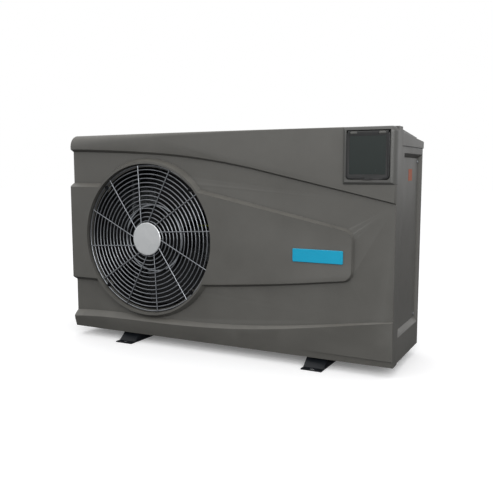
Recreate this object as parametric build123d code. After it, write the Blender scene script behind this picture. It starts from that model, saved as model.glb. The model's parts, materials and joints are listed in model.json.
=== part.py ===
"""Horizontal swimming-pool heat pump: casing, fan, refrigerant circuit, water side and controls.

Frame: millimetres, +X to the right seen from the front, +Y to the rear, +Z up.
The origin is the middle of the overall footprint, on the surface the feet stand on.
A "depth" is measured back from the front face, and fy() turns it into a Y coordinate.
"""
from build123d import *

import os
from math import cos, radians, sin, tan

# ---------------------------------------------------------------- overall size
WIDTH = 1010.0  # casing, side to side
HEIGHT = 619.0  # floor to the top of the front panel
CASE_DEPTH = 290.0  # front face to the rear of the casing
FOOT_HEIGHT = 27.0  # floor to the underside of the casing
FOOT_PROUD = 15.0  # toes of the feet, in front of the front face and behind the casing
UNION_PROUD = 60.0  # water unions, behind the casing
GAP = 0.5  # joint between neighbouring covers
RUNNING = 0.05  # radial clearance of a turning fit
HOLE_CLEAR = 0.3  # radial clearance of a screw in its hole

OVERALL_DEPTH = FOOT_PROUD + CASE_DEPTH + UNION_PROUD
FRONT = FOOT_PROUD - OVERALL_DEPTH / 2
HALF = WIDTH / 2

# ---------------------------------------------------------------- front panel
PANEL_DEPTH = 53.0  # front panel with its side returns
WALL = 4.0  # moulded wall of the returns
SKIN = 5.0  # moulded wall measured straight back through the relief
CORNER = (14.0, 22.0)  # rounded upright corner: across and back
FIELD_LEFT, FIELD_RIGHT = 22.0, 8.0  # depth of the recessed field at the two ends
FIELD_TOP = HEIGHT - 34.0
BROW_LEFT, BROW_RIGHT = 8.0, 1.0  # depth of the upper band at the two ends
BROW_ROUND = ((0.0, 36.0), (0.42, 9.0), (1.0, 6.0))  # share of the width, top edge radius
BROW_START, BROW_END = (-HALF - 55.0, HEIGHT - 36.5), (HALF + 55.0, HEIGHT - 195.8)  # its lower edge
BROW_MIDDLE, BROW_BEND = (-203.0, HEIGHT - 51.0), (150.0, HEIGHT - 103.0)  # ends of its middle curve
DRAFT = 28.0  # degrees on the steps of the relief
TONGUE_TOP, TONGUE_BOTTOM = 464.0, 186.0
TONGUE_TIP_X, TONGUE_TIP_TOP, TONGUE_TIP_BOTTOM = HALF - 107.0, 361.0, 241.0
TONGUE_BEND_X = -100.0  # where the top edge starts to fall towards the tip
TONGUE_SAG = 7.5  # bulge of the curved lower edge
TONGUE_ROUND = 25.0
CREASE = ((0.0, 60.0), (0.25, 70.0), (0.5, 76.0), (0.75, 103.0), (1.0, 143.0))  # share, height
SHELF_LEFT, SHELF_RIGHT = 17.0, 3.0  # height of the sloping shelf above the crease
CREASE_DEPTH = 2.0
CHIN_SETBACK = 14.0  # depth of the lower edge

# ---------------------------------------------------------------- fan
FAN_X, FAN_Z = 281.0 - HALF, 315.0
OPENING_R = 218.0
COLLAR_R = 224.0
COLLAR_LENGTH = 24.0
LEDGE_R, LEDGE_DEPTH, LEDGE_THICK = 209.0, 15.4, 3.0
LUG_COUNT, LUG_R, LUG_WIDTH = 4, 197.0, 16.0
RING_FIRST, RING_PITCH, RING_COUNT = 52.0, 12.4, 13
RIM_R, RIM_WIRE = 213.4, 2.0
RING_WIRE, SPOKE_WIRE, WELD = 1.6, 1.7, 0.5
SPOKE_COUNT, SPOKE_OFFSET, SPOKE_TURN = 12, -19.5, -3.0
SPOKE_INNER = 40.0
DISC_R, DISC_THICK = 48.0, 3.0
SCREW_R = 1.7
WASHER_R, WASHER, GRILLE_SCREW_LENGTH = 6.6, 1.0, 9.0
SHROUD_R, SHROUD_WALL, SHROUD_END = 207.0, 3.0, 98.0
BLADE_R = 199.0
HUB_R, HUB_WALL = 100.0, 4.0
HUB_FRONT, HUB_LENGTH = 42.0, 52.0
HUB_WEB_DEPTH, HUB_WEB = 26.0, 4.0
HUB_RIBS, HUB_NOTCHES, NOTCH_WIDTH, NOTCH_DEPTH = 6, 3, 14.0, 12.0
BOSS_R = 16.0
BLADE_COUNT, BLADE_THICK, BLADE_TURN = 3, 3.0, 30.0
SHAFT_R, SHAFT_FRONT = 6.0, 48.0
NUT_R, NUT_THICK = 10.0, 8.0
MOTOR_R, MOTOR_WALL, MOTOR_FRONT, MOTOR_LENGTH = 52.0, 4.0, 112.0, 60.0
BEARING_R, BEARING_WIDTH = 16.0, 9.0
ROTOR_R, AIR_GAP = 30.0, 0.5

# ---------------------------------------------------------------- controller
BEZEL_X, BEZEL_Z = HALF - 132.0, HEIGHT - 139.0  # left and lower edge of the bezel
BEZEL_FRONT, BEZEL_BACK = -5.0, 18.0
BEZEL_FLOOR = 6.0
BEZEL_BEVEL = 5.0
COVER_X0, COVER_X1 = BEZEL_X + 9.0, HALF - 15.0
COVER_Z0, COVER_Z1 = BEZEL_Z + 12.0, HEIGHT - 10.0
COVER_FRONT, COVER_THICK, COVER_WALL = -8.0, 10.0, 2.5
COVER_GAP, COVER_TOP_GAP = 0.7, 1.5
COVER_CORNER = 9.0
COVER_BORDER = (9.0, 9.0, 12.0, 13.0)  # window frame: left, right, bottom, top
PANE_THICK = 1.8
LIP_R, LIP_HEIGHT, LIP_PROUD = 16.0, 4.5, 3.0
BARREL_R, PIN_R = 6.0, 2.0
KNUCKLE_R, KNUCKLE_WIDTH, KNUCKLE_INSET, KNUCKLE_GAP = 5.0, 17.0, 10.0, 0.5
PIN_OVERHANG = 5.0
BODY_MARGIN, BODY_FRONT = 6.0, 7.0
DISPLAY_SIZE = (72.0, 40.0)
BUTTON_R, BUTTON_PROUD, BUTTON_LENGTH = 5.0, 1.6, 3.8
BUTTON_NAMES = ("button_power", "button_mode", "button_down", "button_up")
BUTTON_PITCH, BUTTON_Z = 21.0, COVER_Z0 + 23.0
BEZEL_ROUND, BODY_TOP, DISPLAY_Z = 13.0, COVER_Z1 - 21.0, COVER_Z0 + 64.0
BADGE_X0, BADGE_X1, BADGE_Z0, BADGE_Z1 = TONGUE_TIP_X - 157.0, TONGUE_TIP_X - 21.0, 280.0, 314.0
BADGE_THICK, BADGE_ROUND = 3.5, 3.0

# ---------------------------------------------------------------- lid, sides, rear and base
LID_WALL = 2.0
LID_SKIRT_Z, LID_RIM_Z = HEIGHT - 46.0, HEIGHT - 27.0
LID_FRONT_RIM = HEIGHT - 12.0
LID_TOP_FRONT, LID_TOP_REAR = HEIGHT - 6.0, HEIGHT - 16.0
LID_LEDGE = 16.0  # the raised top narrows towards the rear and leaves this ledge
SIDE_WALL = 3.0
SIDE_TOP = HEIGHT - 33.0
POCKET_FLOOR = 10.0
POCKET_REAR, POCKET_TOP = CASE_DEPTH - 14.0, HEIGHT - 63.0
POCKET_LOW_FRONT, POCKET_HIGH_FRONT = PANEL_DEPTH + 5.0, PANEL_DEPTH + 31.0
POCKET_OUTER = (
    (POCKET_LOW_FRONT, 93.0), (POCKET_REAR, 93.0),
    (POCKET_REAR, POCKET_TOP), (POCKET_HIGH_FRONT, POCKET_TOP),
)
POCKET_INNER = (
    (POCKET_LOW_FRONT + 10.0, 107.0), (POCKET_REAR - 7.0, 107.0),
    (POCKET_REAR - 7.0, POCKET_TOP - 9.0), (POCKET_HIGH_FRONT + 7.0, POCKET_TOP - 9.0),
)  # depth, height
COVER_INSET, SERVICE_THICK = 1.5, 2.0
SHEET = 2.0
SIDE_REAR = CASE_DEPTH - LID_WALL - GAP
REAR_SHEET = SIDE_REAR - SHEET
PAN_RIM = 20.0
DRAIN_X, DRAIN_DEPTH, DRAIN_R = -100.0, 200.0, 9.0
LABEL_DEPTH, LABEL_Z, LABEL_SIZE = 163.0, HEIGHT - 132.0, (38.0, 30.0)
SPLIT_X = HALF - 357.0  # partition between the fan side and the compressor side
LOUVRE_COUNT, LOUVRE_PITCH, LOUVRE_SLOT, LOUVRE_LENGTH = 30, 15.0, 6.0, 190.0
LOUVRE_BOTTOM = 85.0
GUARD_COLUMNS, GUARD_ROWS, GUARD_BAR = 10, 34, 3.0
FLANGE = 18.0
REAR_RETURN = 6.0  # folded edge of the rear sheet, beside the right panel

# ---------------------------------------------------------------- feet
FOOT_X, FOOT_WIDTH, FOOT_PLATE = 300.0, 57.0, 3.0
TOE_LENGTH, TOE_RISE = 20.0, 30.0
SLOT_R, SLOT_LENGTH, SLOT_IN = 5.0, 20.0, 11.0

# ---------------------------------------------------------------- air coil
COIL_THICK, COIL_FRONT, COIL_BOTTOM, COIL_TOP = 22.0, CASE_DEPTH - 32.0, 42.0, HEIGHT - 54.0
COIL_X, COIL_RIGHT, COIL_LEG_FRONT, COIL_BEND = 21.0 - HALF, SPLIT_X - 14.0, PANEL_DEPTH + 13.0, 30.0
BEND_R, BEND_TUBE, BEND_COUNT, BEND_PITCH = 10.5, 4.5, 11, 46.0
HEADER_X, HEADER_DEPTH, HEADER_R = SPLIT_X + 22.0, CASE_DEPTH - 22.0, 7.0
FEEDER_R, FEEDER_COUNT = 4.0, 5

# ---------------------------------------------------------------- compressor and refrigerant
COMP_X, COMP_DEPTH, COMP_R, COMP_BOTTOM, COMP_TOP = SPLIT_X + 97.0, 120.0, 58.0, 60.0, 325.0
COMP_DOME = 26.0
COMP_FOOT_R, COMP_BOLT_R, GROMMET_R = 76.0, 3.0, 12.0
COMP_FEET = (0.0, 120.0, 240.0)
STUB_R, STUB_LENGTH = 7.0, 8.0
ACC_X, ACC_DEPTH, ACC_R, ACC_BOTTOM, ACC_TOP = COMP_X + 82.0, 100.0, 18.0, 130.0, 300.0
VALVE_X, VALVE_Z, VALVE_DEPTH, VALVE_R = COMP_X, 380.0, 175.0, 14.0
VALVE_LENGTH, VALVE_PITCH = 90.0, 25.0
EXPANSION_MOTOR_R = 13.0
COPPER_R = 5.0
PIPE_HIGH = HEIGHT - 205.0  # pipes run under the control box at this height
PIPE_BEND, PIPE_RISE, SUCTION_DROP, GAS_DROP, GAS_CLEAR = 10.0, 22.0, 16.0, 16.0, 20.0
COIL_PIPE_Z, DISTRIBUTOR_Z, SUCTION_GAP = 330.0, 57.0, 2.0

# ---------------------------------------------------------------- water side
VESSEL_X, VESSEL_DEPTH, VESSEL_R, VESSEL_WALL = HALF - 95.0, 178.0, 60.0, 5.0
VESSEL_BOTTOM, VESSEL_TOP = 60.0, 385.0
EXPANSION_X = VESSEL_X - VESSEL_R - 21.0  # the expansion valve hangs beside the vessel
EXPANSION_DEPTH, EXPANSION_BOTTOM, EXPANSION_TOP = 225.0, 330.0, 385.0
COIL_TUBE_R, HELIX_R, HELIX_PITCH = 7.0, 38.0, 22.0
WATER_Z = {"inlet": 130.0, "outlet": 335.0}
PORT_R, PORT_BORE = 32.0, 24.0
PORT_END = 304.0
TAIL_FLANGE, TAIL_R = 4.0, 29.0
SOCKET_R, SOCKET_LENGTH = 25.1, 31.0
UNION_NUT_R, UNION_NUT_LENGTH, UNION_NUT_LIP = 43.0, 26.0, 9.0
UNION_CLEAR = 0.3

# ---------------------------------------------------------------- electrical
BOX_DEPTHS, BOX_Z, BOX_RIGHT = (72.0, 222.0), (HEIGHT - 187.0, HEIGHT - 59.0), HALF - 35.0
BOARD_Z = BOX_Z[0] + 10.0
GLAND_XZ = ((SPLIT_X + 152.0, HEIGHT - 119.0), (SPLIT_X + 197.0, HEIGHT - 119.0))
GLAND_R, GLAND_BORE, GLAND_LENGTH = 11.0, 6.0, 26.0
TERMINALS = 6
CABLE_R, CABLE_DEPTH, CABLE_EXIT_Z, CABLE_BEND = 4.0, 142.0, 430.0, 25.0
EARTH_R, EARTH_BEND = 2.5, 20.0
GROMMET_LENGTH = 12.0

PARTS = "parts"


def fy(depth):
    """Y of a plane that lies `depth` behind the front face."""
    return FRONT + depth


def run(left, right, x):
    """Value that changes evenly from the left end of the casing to the right end."""
    return left + (right - left) * (x + HALF) / WIDTH


def at(share):
    """X at a share of the width."""
    return -HALF + WIDTH * share


def block(x0, x1, d0, d1, z0, z1):
    """Box between two X, two depths and two heights."""
    size = (abs(x1 - x0), abs(d1 - d0), abs(z1 - z0))
    return Pos((x0 + x1) / 2, fy((d0 + d1) / 2), (z0 + z1) / 2) * Box(*size)


def along_x(x0, x1, depth, z, radius):
    """Cylinder along X."""
    return Pos((x0 + x1) / 2, fy(depth), z) * Rot(0, 90, 0) * Cylinder(radius, abs(x1 - x0))


def along_y(x, z, d0, d1, radius):
    """Cylinder along Y between two depths."""
    return Pos(x, fy((d0 + d1) / 2), z) * Rot(90, 0, 0) * Cylinder(radius, abs(d1 - d0))


def along_z(x, depth, z0, z1, radius):
    """Upright cylinder."""
    return Pos(x, fy(depth), (z0 + z1) / 2) * Cylinder(radius, abs(z1 - z0))


def front_plane(depth):
    """Sketch plane seen from the front: local x is X, local y is Z."""
    return Plane(origin=(0, fy(depth), 0), x_dir=(1, 0, 0), z_dir=(0, -1, 0))


def prism_x(points, x0, x1):
    """Side outline, as (depth, height) points, carried from one X to another."""
    face = make_face(Polyline(*[(x0, fy(d), z) for d, z in points], close=True))
    return extrude(face, amount=x1 - x0, dir=(1, 0, 0))


def prism_y(points, d0, d1):
    """Front outline, as (x, height) points, carried from one depth to another."""
    face = make_face(Polyline(*[(x, fy(d0), z) for x, z in points], close=True))
    return extrude(face, amount=d1 - d0, dir=(0, 1, 0))


def prism_z(points, z0, z1):
    """Plan outline, as (x, depth) points, carried from one height to another."""
    face = make_face(Polyline(*[(x, fy(d), z0) for x, d in points], close=True))
    return extrude(face, amount=z1 - z0, dir=(0, 0, 1))


def tube_run(points, radius, bend):
    """Bent tube through (x, depth, z) points, every corner with the same bend radius."""
    corners = [(x, fy(d), z) for x, d, z in points]
    line = FilletPolyline(*corners, radius=bend)
    start = Plane(origin=line @ 0, z_dir=line % 0)
    return sweep(start * Circle(radius), path=line)


def around_fan(count, turn=0.0):
    """Evenly spaced directions round the fan axis, as X and Z parts."""
    angles = [radians(turn + 360.0 * i / count) for i in range(count)]
    return [(sin(a), cos(a)) for a in angles]


def save(name, shape):
    """Write one sub-part."""
    export_step(shape, os.path.join(PARTS, name + ".step"))


# ================================================================ front panel
def corner_plan(inset):
    """Upright block whose plan has the panel's rounded front corners."""
    across, back = CORNER
    x = HALF - inset
    face_depth = BEZEL_FRONT + inset
    lines = [
        Line((-x, fy(PANEL_DEPTH + SKIN)), (-x, fy(face_depth + back))),
        Bezier((-x, fy(face_depth + back)), (-x, fy(face_depth)), (across - x, fy(face_depth))),
        Line((across - x, fy(face_depth)), (x - across, fy(face_depth))),
        Bezier((x - across, fy(face_depth)), (x, fy(face_depth)), (x, fy(face_depth + back))),
        Line((x, fy(face_depth + back)), (x, fy(PANEL_DEPTH + SKIN))),
        Line((x, fy(PANEL_DEPTH + SKIN)), (-x, fy(PANEL_DEPTH + SKIN))),
    ]
    plan = make_face(Wire(lines))
    low, high = FOOT_HEIGHT + inset, HEIGHT - inset
    return Pos(0, 0, low) * extrude(plan, amount=high - low, dir=(0, 0, 1))


def stepped(outline, face_depth):
    """Raised area: an outline on its own face, widening with the draft towards the back."""
    amount = PANEL_DEPTH - face_depth
    return extrude(front_plane(face_depth) * outline, amount=-amount, taper=-DRAFT)


def brow_section(x, face, radius):
    """Section of the upper band: upright face and rounded top edge."""
    low = TONGUE_TIP_BOTTOM
    lines = [
        Line((x, fy(PANEL_DEPTH), low), (x, fy(face), low)),
        Line((x, fy(face), low), (x, fy(face), HEIGHT - radius)),
        Bezier(
            (x, fy(face), HEIGHT - radius),
            (x, fy(face), HEIGHT - radius * 0.45),
            (x, fy(face + radius * 0.45), HEIGHT),
            (x, fy(face + radius), HEIGHT),
        ),
        Line((x, fy(face + radius), HEIGHT), (x, fy(PANEL_DEPTH), HEIGHT)),
        Line((x, fy(PANEL_DEPTH), HEIGHT), (x, fy(PANEL_DEPTH), low)),
    ]
    return make_face(Wire(lines))


def brow():
    """Upper band: its top edge is generously rounded at the left end only."""
    faces = [brow_section(at(s), run(BROW_LEFT, BROW_RIGHT, at(s)), r) for s, r in BROW_ROUND]
    band = loft(faces)
    start, bend, end = BROW_START, BROW_BEND, BROW_END
    top = HEIGHT + PANEL_DEPTH
    straight = Line(end, bend)
    first = TangentArc(bend, BROW_MIDDLE, tangent=straight % 1)
    second = TangentArc(BROW_MIDDLE, start, tangent=first % 1)
    edge = [
        straight,
        first,
        second,
        Line(start, (start[0], top)),
        Line((start[0], top), (end[0], top)),
        Line((end[0], top), end),
    ]
    outline = front_plane(0.0) * make_face(Wire(edge))
    sloping = Vector(0, 1, -tan(radians(DRAFT))).normalized()
    return band & extrude(outline, amount=PANEL_DEPTH / cos(radians(DRAFT)), dir=sloping)


def chin_section(x, crease):
    """Section of the skirt: shelf, crease and face that falls back to the lower edge."""
    shelf = crease + run(SHELF_LEFT, SHELF_RIGHT, x)
    points = (
        (PANEL_DEPTH, FOOT_HEIGHT),
        (CHIN_SETBACK, FOOT_HEIGHT),
        (CREASE_DEPTH, crease),
        (run(FIELD_LEFT, FIELD_RIGHT, x), shelf),
        (PANEL_DEPTH, shelf),
    )
    return make_face(Polyline(*[(x, fy(d), z) for d, z in points], close=True))


def tongue():
    """Raised tongue that runs from the left end, round the fan and out to a rounded tip."""
    left = -HALF - PANEL_DEPTH
    tip_low = (TONGUE_TIP_X, TONGUE_TIP_BOTTOM)
    tip_high = (TONGUE_TIP_X, TONGUE_TIP_TOP)
    middle = ((FAN_X + TONGUE_TIP_X) / 2, (TONGUE_BOTTOM + TONGUE_TIP_BOTTOM) / 2 - TONGUE_SAG)
    lines = [
        Line((left, TONGUE_BOTTOM), (FAN_X, TONGUE_BOTTOM)),
        ThreePointArc((FAN_X, TONGUE_BOTTOM), middle, tip_low),
        Line(tip_low, tip_high),
        Line(tip_high, (TONGUE_BEND_X, TONGUE_TOP)),
        Line((TONGUE_BEND_X, TONGUE_TOP), (left, TONGUE_TOP)),
        Line((left, TONGUE_TOP), (left, TONGUE_BOTTOM)),
    ]
    outline = make_face(Wire(lines))
    tips = outline.vertices().sort_by(Axis.X)[-2:]
    return stepped(fillet(tips, TONGUE_ROUND), 0.0)


def relief():
    """Everything in front of the panel's rear edge, as one solid."""
    field = prism_z(
        ((-HALF, FIELD_LEFT), (HALF, FIELD_RIGHT), (HALF, PANEL_DEPTH), (-HALF, PANEL_DEPTH)),
        FOOT_HEIGHT + SHELF_LEFT,
        FIELD_TOP,
    )
    collar = stepped(Pos(FAN_X, FAN_Z) * Circle(COLLAR_R), 0.0)
    chin = loft([chin_section(at(s), z) for s, z in CREASE])
    return field + collar + chin + tongue() + brow()


def grille_seat():
    """Ring behind the opening: collar wall, ledge for the grille and four screw lugs."""
    wall = along_y(FAN_X, FAN_Z, 0, COLLAR_LENGTH, OPENING_R + WALL)
    ledge_end = LEDGE_DEPTH + LEDGE_THICK
    lugs = []
    for dx, dz in around_fan(LUG_COUNT, 360.0 / LUG_COUNT / 2):
        reach = (OPENING_R + LUG_R) / 2
        lug = Rot(0, 45 if dx * dz > 0 else -45, 0) * Box(LUG_WIDTH, LEDGE_THICK, OPENING_R - LUG_R)
        place = Pos(FAN_X + dx * reach, fy((LEDGE_DEPTH + ledge_end) / 2), FAN_Z + dz * reach)
        lugs.append(place * lug)
    bore = along_y(FAN_X, FAN_Z, -1, LEDGE_DEPTH, OPENING_R)
    bore += along_y(FAN_X, FAN_Z, LEDGE_DEPTH - 1, ledge_end + 1, LEDGE_R)
    bore += along_y(FAN_X, FAN_Z, ledge_end, COLLAR_LENGTH + 1, OPENING_R)
    seat = wall - bore
    for lug in lugs:
        seat += lug
    for x, z in screw_places():
        seat -= along_y(x, z, LEDGE_DEPTH - 1, ledge_end + 1, SCREW_R + HOLE_CLEAR)
    return seat


def screw_places():
    """Where the grille screws go, halfway between the last ring and the rim wire."""
    last_ring = RING_FIRST + RING_PITCH * (RING_COUNT - 1)
    reach = (last_ring + RING_WIRE + RIM_R - RIM_WIRE) / 2
    return [(FAN_X + dx * reach, FAN_Z + dz * reach) for dx, dz in around_fan(LUG_COUNT, 45.0)]


def front_panel():
    """Moulded front panel with its relief, collar, returns and the place for the bezel."""
    solid = relief() & corner_plan(0.0)
    hollow = Pos(0, SKIN, 0) * relief() & corner_plan(WALL)
    hollow += block(WALL - HALF, HALF - WALL, PANEL_DEPTH - 1, PANEL_DEPTH + SKIN, FIELD_TOP, HEIGHT - WALL)
    shell = solid - hollow
    shell -= along_y(FAN_X, FAN_Z, -10, PANEL_DEPTH, OPENING_R)
    shell += grille_seat()
    shell += block(WALL - HALF, HALF - WALL, PANEL_DEPTH - LID_WALL, PANEL_DEPTH, LID_RIM_Z, HEIGHT - WALL)
    shell -= block(BEZEL_X - GAP, HALF + 1, BEZEL_FRONT - 5, BEZEL_BACK, BEZEL_Z - GAP, HEIGHT + 1)
    return shell


def badge():
    """Plain raised name plate, without lettering."""
    plate = front_plane(0) * Pos((BADGE_X0 + BADGE_X1) / 2, (BADGE_Z0 + BADGE_Z1) / 2)
    outline = plate * RectangleRounded(BADGE_X1 - BADGE_X0, BADGE_Z1 - BADGE_Z0, BADGE_ROUND)
    body = extrude(outline, amount=BADGE_THICK)
    front = body.faces().sort_by(Axis.Y)[0]
    return chamfer(front.edges(), BADGE_THICK / 4)


# ================================================================ fan
def fan_grille():
    """Welded wire guard: rings, rim wire and slanting spokes in front of them."""
    plate_depth = LEDGE_DEPTH - RIM_WIRE
    ring_depth = plate_depth
    here = Pos(FAN_X, fy(ring_depth), FAN_Z) * Rot(90, 0, 0)
    wires = [here * Torus(RING_FIRST + RING_PITCH * i, RING_WIRE) for i in range(RING_COUNT)]
    rim = here * Torus(RIM_R, RIM_WIRE)
    front = ring_depth - RING_WIRE - SPOKE_WIRE + WELD
    length = RIM_R - SPOKE_INNER
    for i in range(SPOKE_COUNT):
        spoke = Pos(SPOKE_OFFSET, 0, SPOKE_INNER + length / 2) * Cylinder(SPOKE_WIRE, length)
        turn = Rot(0, SPOKE_TURN + 360.0 * i / SPOKE_COUNT, 0)
        wires.append(Pos(FAN_X, fy(front), FAN_Z) * turn * spoke)
    grille = rim.fuse(*wires)
    return grille


def grille_disc():
    """Pressed disc clipped over the middle of the guard, slightly domed at its edge."""
    back = LEDGE_DEPTH - RIM_WIRE - RING_WIRE - 2 * SPOKE_WIRE + WELD
    disc = along_y(FAN_X, FAN_Z, back - DISC_THICK, back, DISC_R)
    front = disc.faces().sort_by(Axis.Y)[0]
    return fillet(front.edges(), DISC_THICK * 0.6)


def pan_screw(x, z, head_depth, length):
    """Pan-head screw driven from the front; its head stands in front of head_depth."""
    head = along_y(x, z, head_depth - 2.2, head_depth, SCREW_R * 2.3)
    head = fillet(head.faces().sort_by(Axis.Y)[0].edges(), 0.8)
    return head + along_y(x, z, head_depth - 0.5, head_depth + length, SCREW_R)


def grille_screws():
    """Washer-head screws that clamp the rim wire and the last ring on the panel's lugs."""
    seat = LEDGE_DEPTH - 2 * RIM_WIRE
    screws = []
    for x, z in screw_places():
        washer = along_y(x, z, seat - WASHER, seat, WASHER_R)
        screws.append(washer + pan_screw(x, z, seat - WASHER / 2, GRILLE_SCREW_LENGTH))
    return Compound(children=screws)


def fan_shroud():
    """Bell-mouth ring round the blade tips."""
    flange = COLLAR_LENGTH + SHROUD_WALL
    flare = 14.0
    outer, inner = SHROUD_R + SHROUD_WALL, SHROUD_R
    points = (
        (OPENING_R + WALL, COLLAR_LENGTH),
        (OPENING_R + WALL, flange),
        (outer + 3, flange),
        (outer, flange + flare),
        (outer, SHROUD_END),
        (inner, SHROUD_END),
        (inner, flange + flare - 2),
        (inner + 5, COLLAR_LENGTH),
    )
    face = make_face(Polyline(*[(FAN_X + r, fy(d), FAN_Z) for r, d in points], close=True))
    axis = Axis((FAN_X, 0, FAN_Z), (0, 1, 0))
    return revolve(face, axis, 360)


def blade(turn):
    """One wide swept blade, trimmed to the tip circle."""
    stations = ((60.0, 118.0, 46.0), (130.0, 190.0, 40.0), (215.0, 240.0, 34.0))
    middle = HUB_FRONT + HUB_LENGTH / 2
    faces = []
    for reach, chord, rise in stations:
        half, up = chord / 2, rise / 2
        camber = chord * 0.05
        front = ThreePointArc((-half, -up), (0, -camber), (half, up))
        back = ThreePointArc((half, up + BLADE_THICK), (0, BLADE_THICK - camber), (-half, BLADE_THICK - up))
        ends = [Line((half, up), (half, up + BLADE_THICK)), Line((-half, BLADE_THICK - up), (-half, -up))]
        outline = make_face(Wire([front, ends[0], back, ends[1]]))
        plane = Plane(origin=(0, 0, reach), x_dir=(1, 0, 0), z_dir=(0, 0, -1))
        faces.append(plane * outline)
    swept = loft(faces)
    trimmed = swept & Rot(90, 0, 0) * Cylinder(BLADE_R, 3 * HUB_LENGTH)
    trimmed -= Rot(90, 0, 0) * Cylinder(HUB_R - HUB_WALL / 2, 3 * HUB_LENGTH)
    return Pos(FAN_X, fy(middle), FAN_Z) * Rot(0, turn, 0) * trimmed


def fan_rotor():
    """Moulded fan: open hub with ribs and notched rim, boss and three blades."""
    end = HUB_FRONT + HUB_LENGTH
    web = HUB_FRONT + HUB_WEB_DEPTH
    hub = along_y(FAN_X, FAN_Z, HUB_FRONT, end, HUB_R)
    hub -= along_y(FAN_X, FAN_Z, HUB_FRONT - 1, web, HUB_R - HUB_WALL)
    hub -= along_y(FAN_X, FAN_Z, web + HUB_WEB, end + 1, HUB_R - HUB_WALL)
    hub += along_y(FAN_X, FAN_Z, SHAFT_FRONT + NUT_THICK + 2, end, BOSS_R)
    rib_front = HUB_FRONT + HUB_WEB_DEPTH / 2
    for i in range(HUB_RIBS):
        reach = (BOSS_R + HUB_R) / 2 - 1
        rib = Pos(0, 0, reach) * Box(HUB_WALL - 1, web - rib_front, HUB_R - BOSS_R - HUB_WALL / 2)
        place = Pos(FAN_X, fy((rib_front + web) / 2), FAN_Z) * Rot(0, 10 + 360.0 * i / HUB_RIBS, 0)
        hub += place * rib
    for i in range(HUB_NOTCHES):
        notch = Pos(0, 0, HUB_R) * Box(NOTCH_WIDTH, 2 * NOTCH_DEPTH, 3 * HUB_WALL)
        hub -= Pos(FAN_X, fy(HUB_FRONT), FAN_Z) * Rot(0, 40 + 360.0 * i / HUB_NOTCHES, 0) * notch
    for i in range(BLADE_COUNT):
        hub += blade(BLADE_TURN + 360.0 * i / BLADE_COUNT)
    return hub - along_y(FAN_X, FAN_Z, 0, end + 1, SHAFT_R + RUNNING)


def fan_nut():
    """Hexagonal nut that clamps the fan on its shaft."""
    front = SHAFT_FRONT + 2
    hexagon = front_plane(front) * Pos(FAN_X, FAN_Z) * RegularPolygon(NUT_R, 6)
    nut = extrude(hexagon, amount=-NUT_THICK)
    return nut - along_y(FAN_X, FAN_Z, 0, MOTOR_FRONT, SHAFT_R + RUNNING)


def motor_shaft():
    """Shaft through fan, bearings and rotor."""
    end = MOTOR_FRONT + MOTOR_LENGTH - MOTOR_WALL
    shaft = along_y(FAN_X, FAN_Z, SHAFT_FRONT, end, SHAFT_R)
    return chamfer(shaft.faces().sort_by(Axis.Y)[0].edges(), 1.0)


def motor_rotor():
    """Laminated rotor on the shaft."""
    front = MOTOR_FRONT + MOTOR_WALL + BEARING_WIDTH + 3
    end = MOTOR_FRONT + MOTOR_LENGTH - MOTOR_WALL - BEARING_WIDTH - 3
    core = along_y(FAN_X, FAN_Z, front, end, ROTOR_R)
    return core - along_y(FAN_X, FAN_Z, front - 1, end + 1, SHAFT_R + RUNNING)


def motor_stator():
    """Wound stator ring inside the motor housing."""
    front = MOTOR_FRONT + MOTOR_WALL + BEARING_WIDTH + 3
    end = MOTOR_FRONT + MOTOR_LENGTH - MOTOR_WALL - BEARING_WIDTH - 3
    ring = along_y(FAN_X, FAN_Z, front, end, MOTOR_R - MOTOR_WALL)
    return ring - along_y(FAN_X, FAN_Z, front - 1, end + 1, ROTOR_R + AIR_GAP)


def bearing_depths():
    """Front plane of each bearing."""
    front = MOTOR_FRONT + MOTOR_WALL
    return front, MOTOR_FRONT + MOTOR_LENGTH - MOTOR_WALL - BEARING_WIDTH


def motor_bearings():
    """Ball bearings in the two ends of the motor."""
    rings = []
    for front in bearing_depths():
        ring = along_y(FAN_X, FAN_Z, front, front + BEARING_WIDTH, BEARING_R)
        rings.append(ring - along_y(FAN_X, FAN_Z, front - 1, front + BEARING_WIDTH + 1, SHAFT_R + RUNNING))
    return Compound(children=rings)


def fan_motor():
    """Closed motor housing with bearing seats and a cable boss on its right side."""
    end = MOTOR_FRONT + MOTOR_LENGTH
    housing = along_y(FAN_X, FAN_Z, MOTOR_FRONT, end, MOTOR_R)
    housing = fillet(housing.faces().sort_by(Axis.Y)[0].edges(), MOTOR_WALL)
    housing += along_x(FAN_X, FAN_X + MOTOR_R + 10, CABLE_DEPTH, FAN_Z, CABLE_R + 4)
    cavity = along_y(FAN_X, FAN_Z, MOTOR_FRONT + MOTOR_WALL, end - MOTOR_WALL, MOTOR_R - MOTOR_WALL)
    for front in bearing_depths():
        seat = along_y(FAN_X, FAN_Z, front, front + BEARING_WIDTH, BEARING_R + MOTOR_WALL)
        cavity -= seat - along_y(FAN_X, FAN_Z, front, front + BEARING_WIDTH, BEARING_R + RUNNING)
    housing -= cavity
    return housing - along_y(FAN_X, FAN_Z, MOTOR_FRONT - 1, MOTOR_FRONT + MOTOR_WALL + 1, SHAFT_R + 1)


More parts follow.
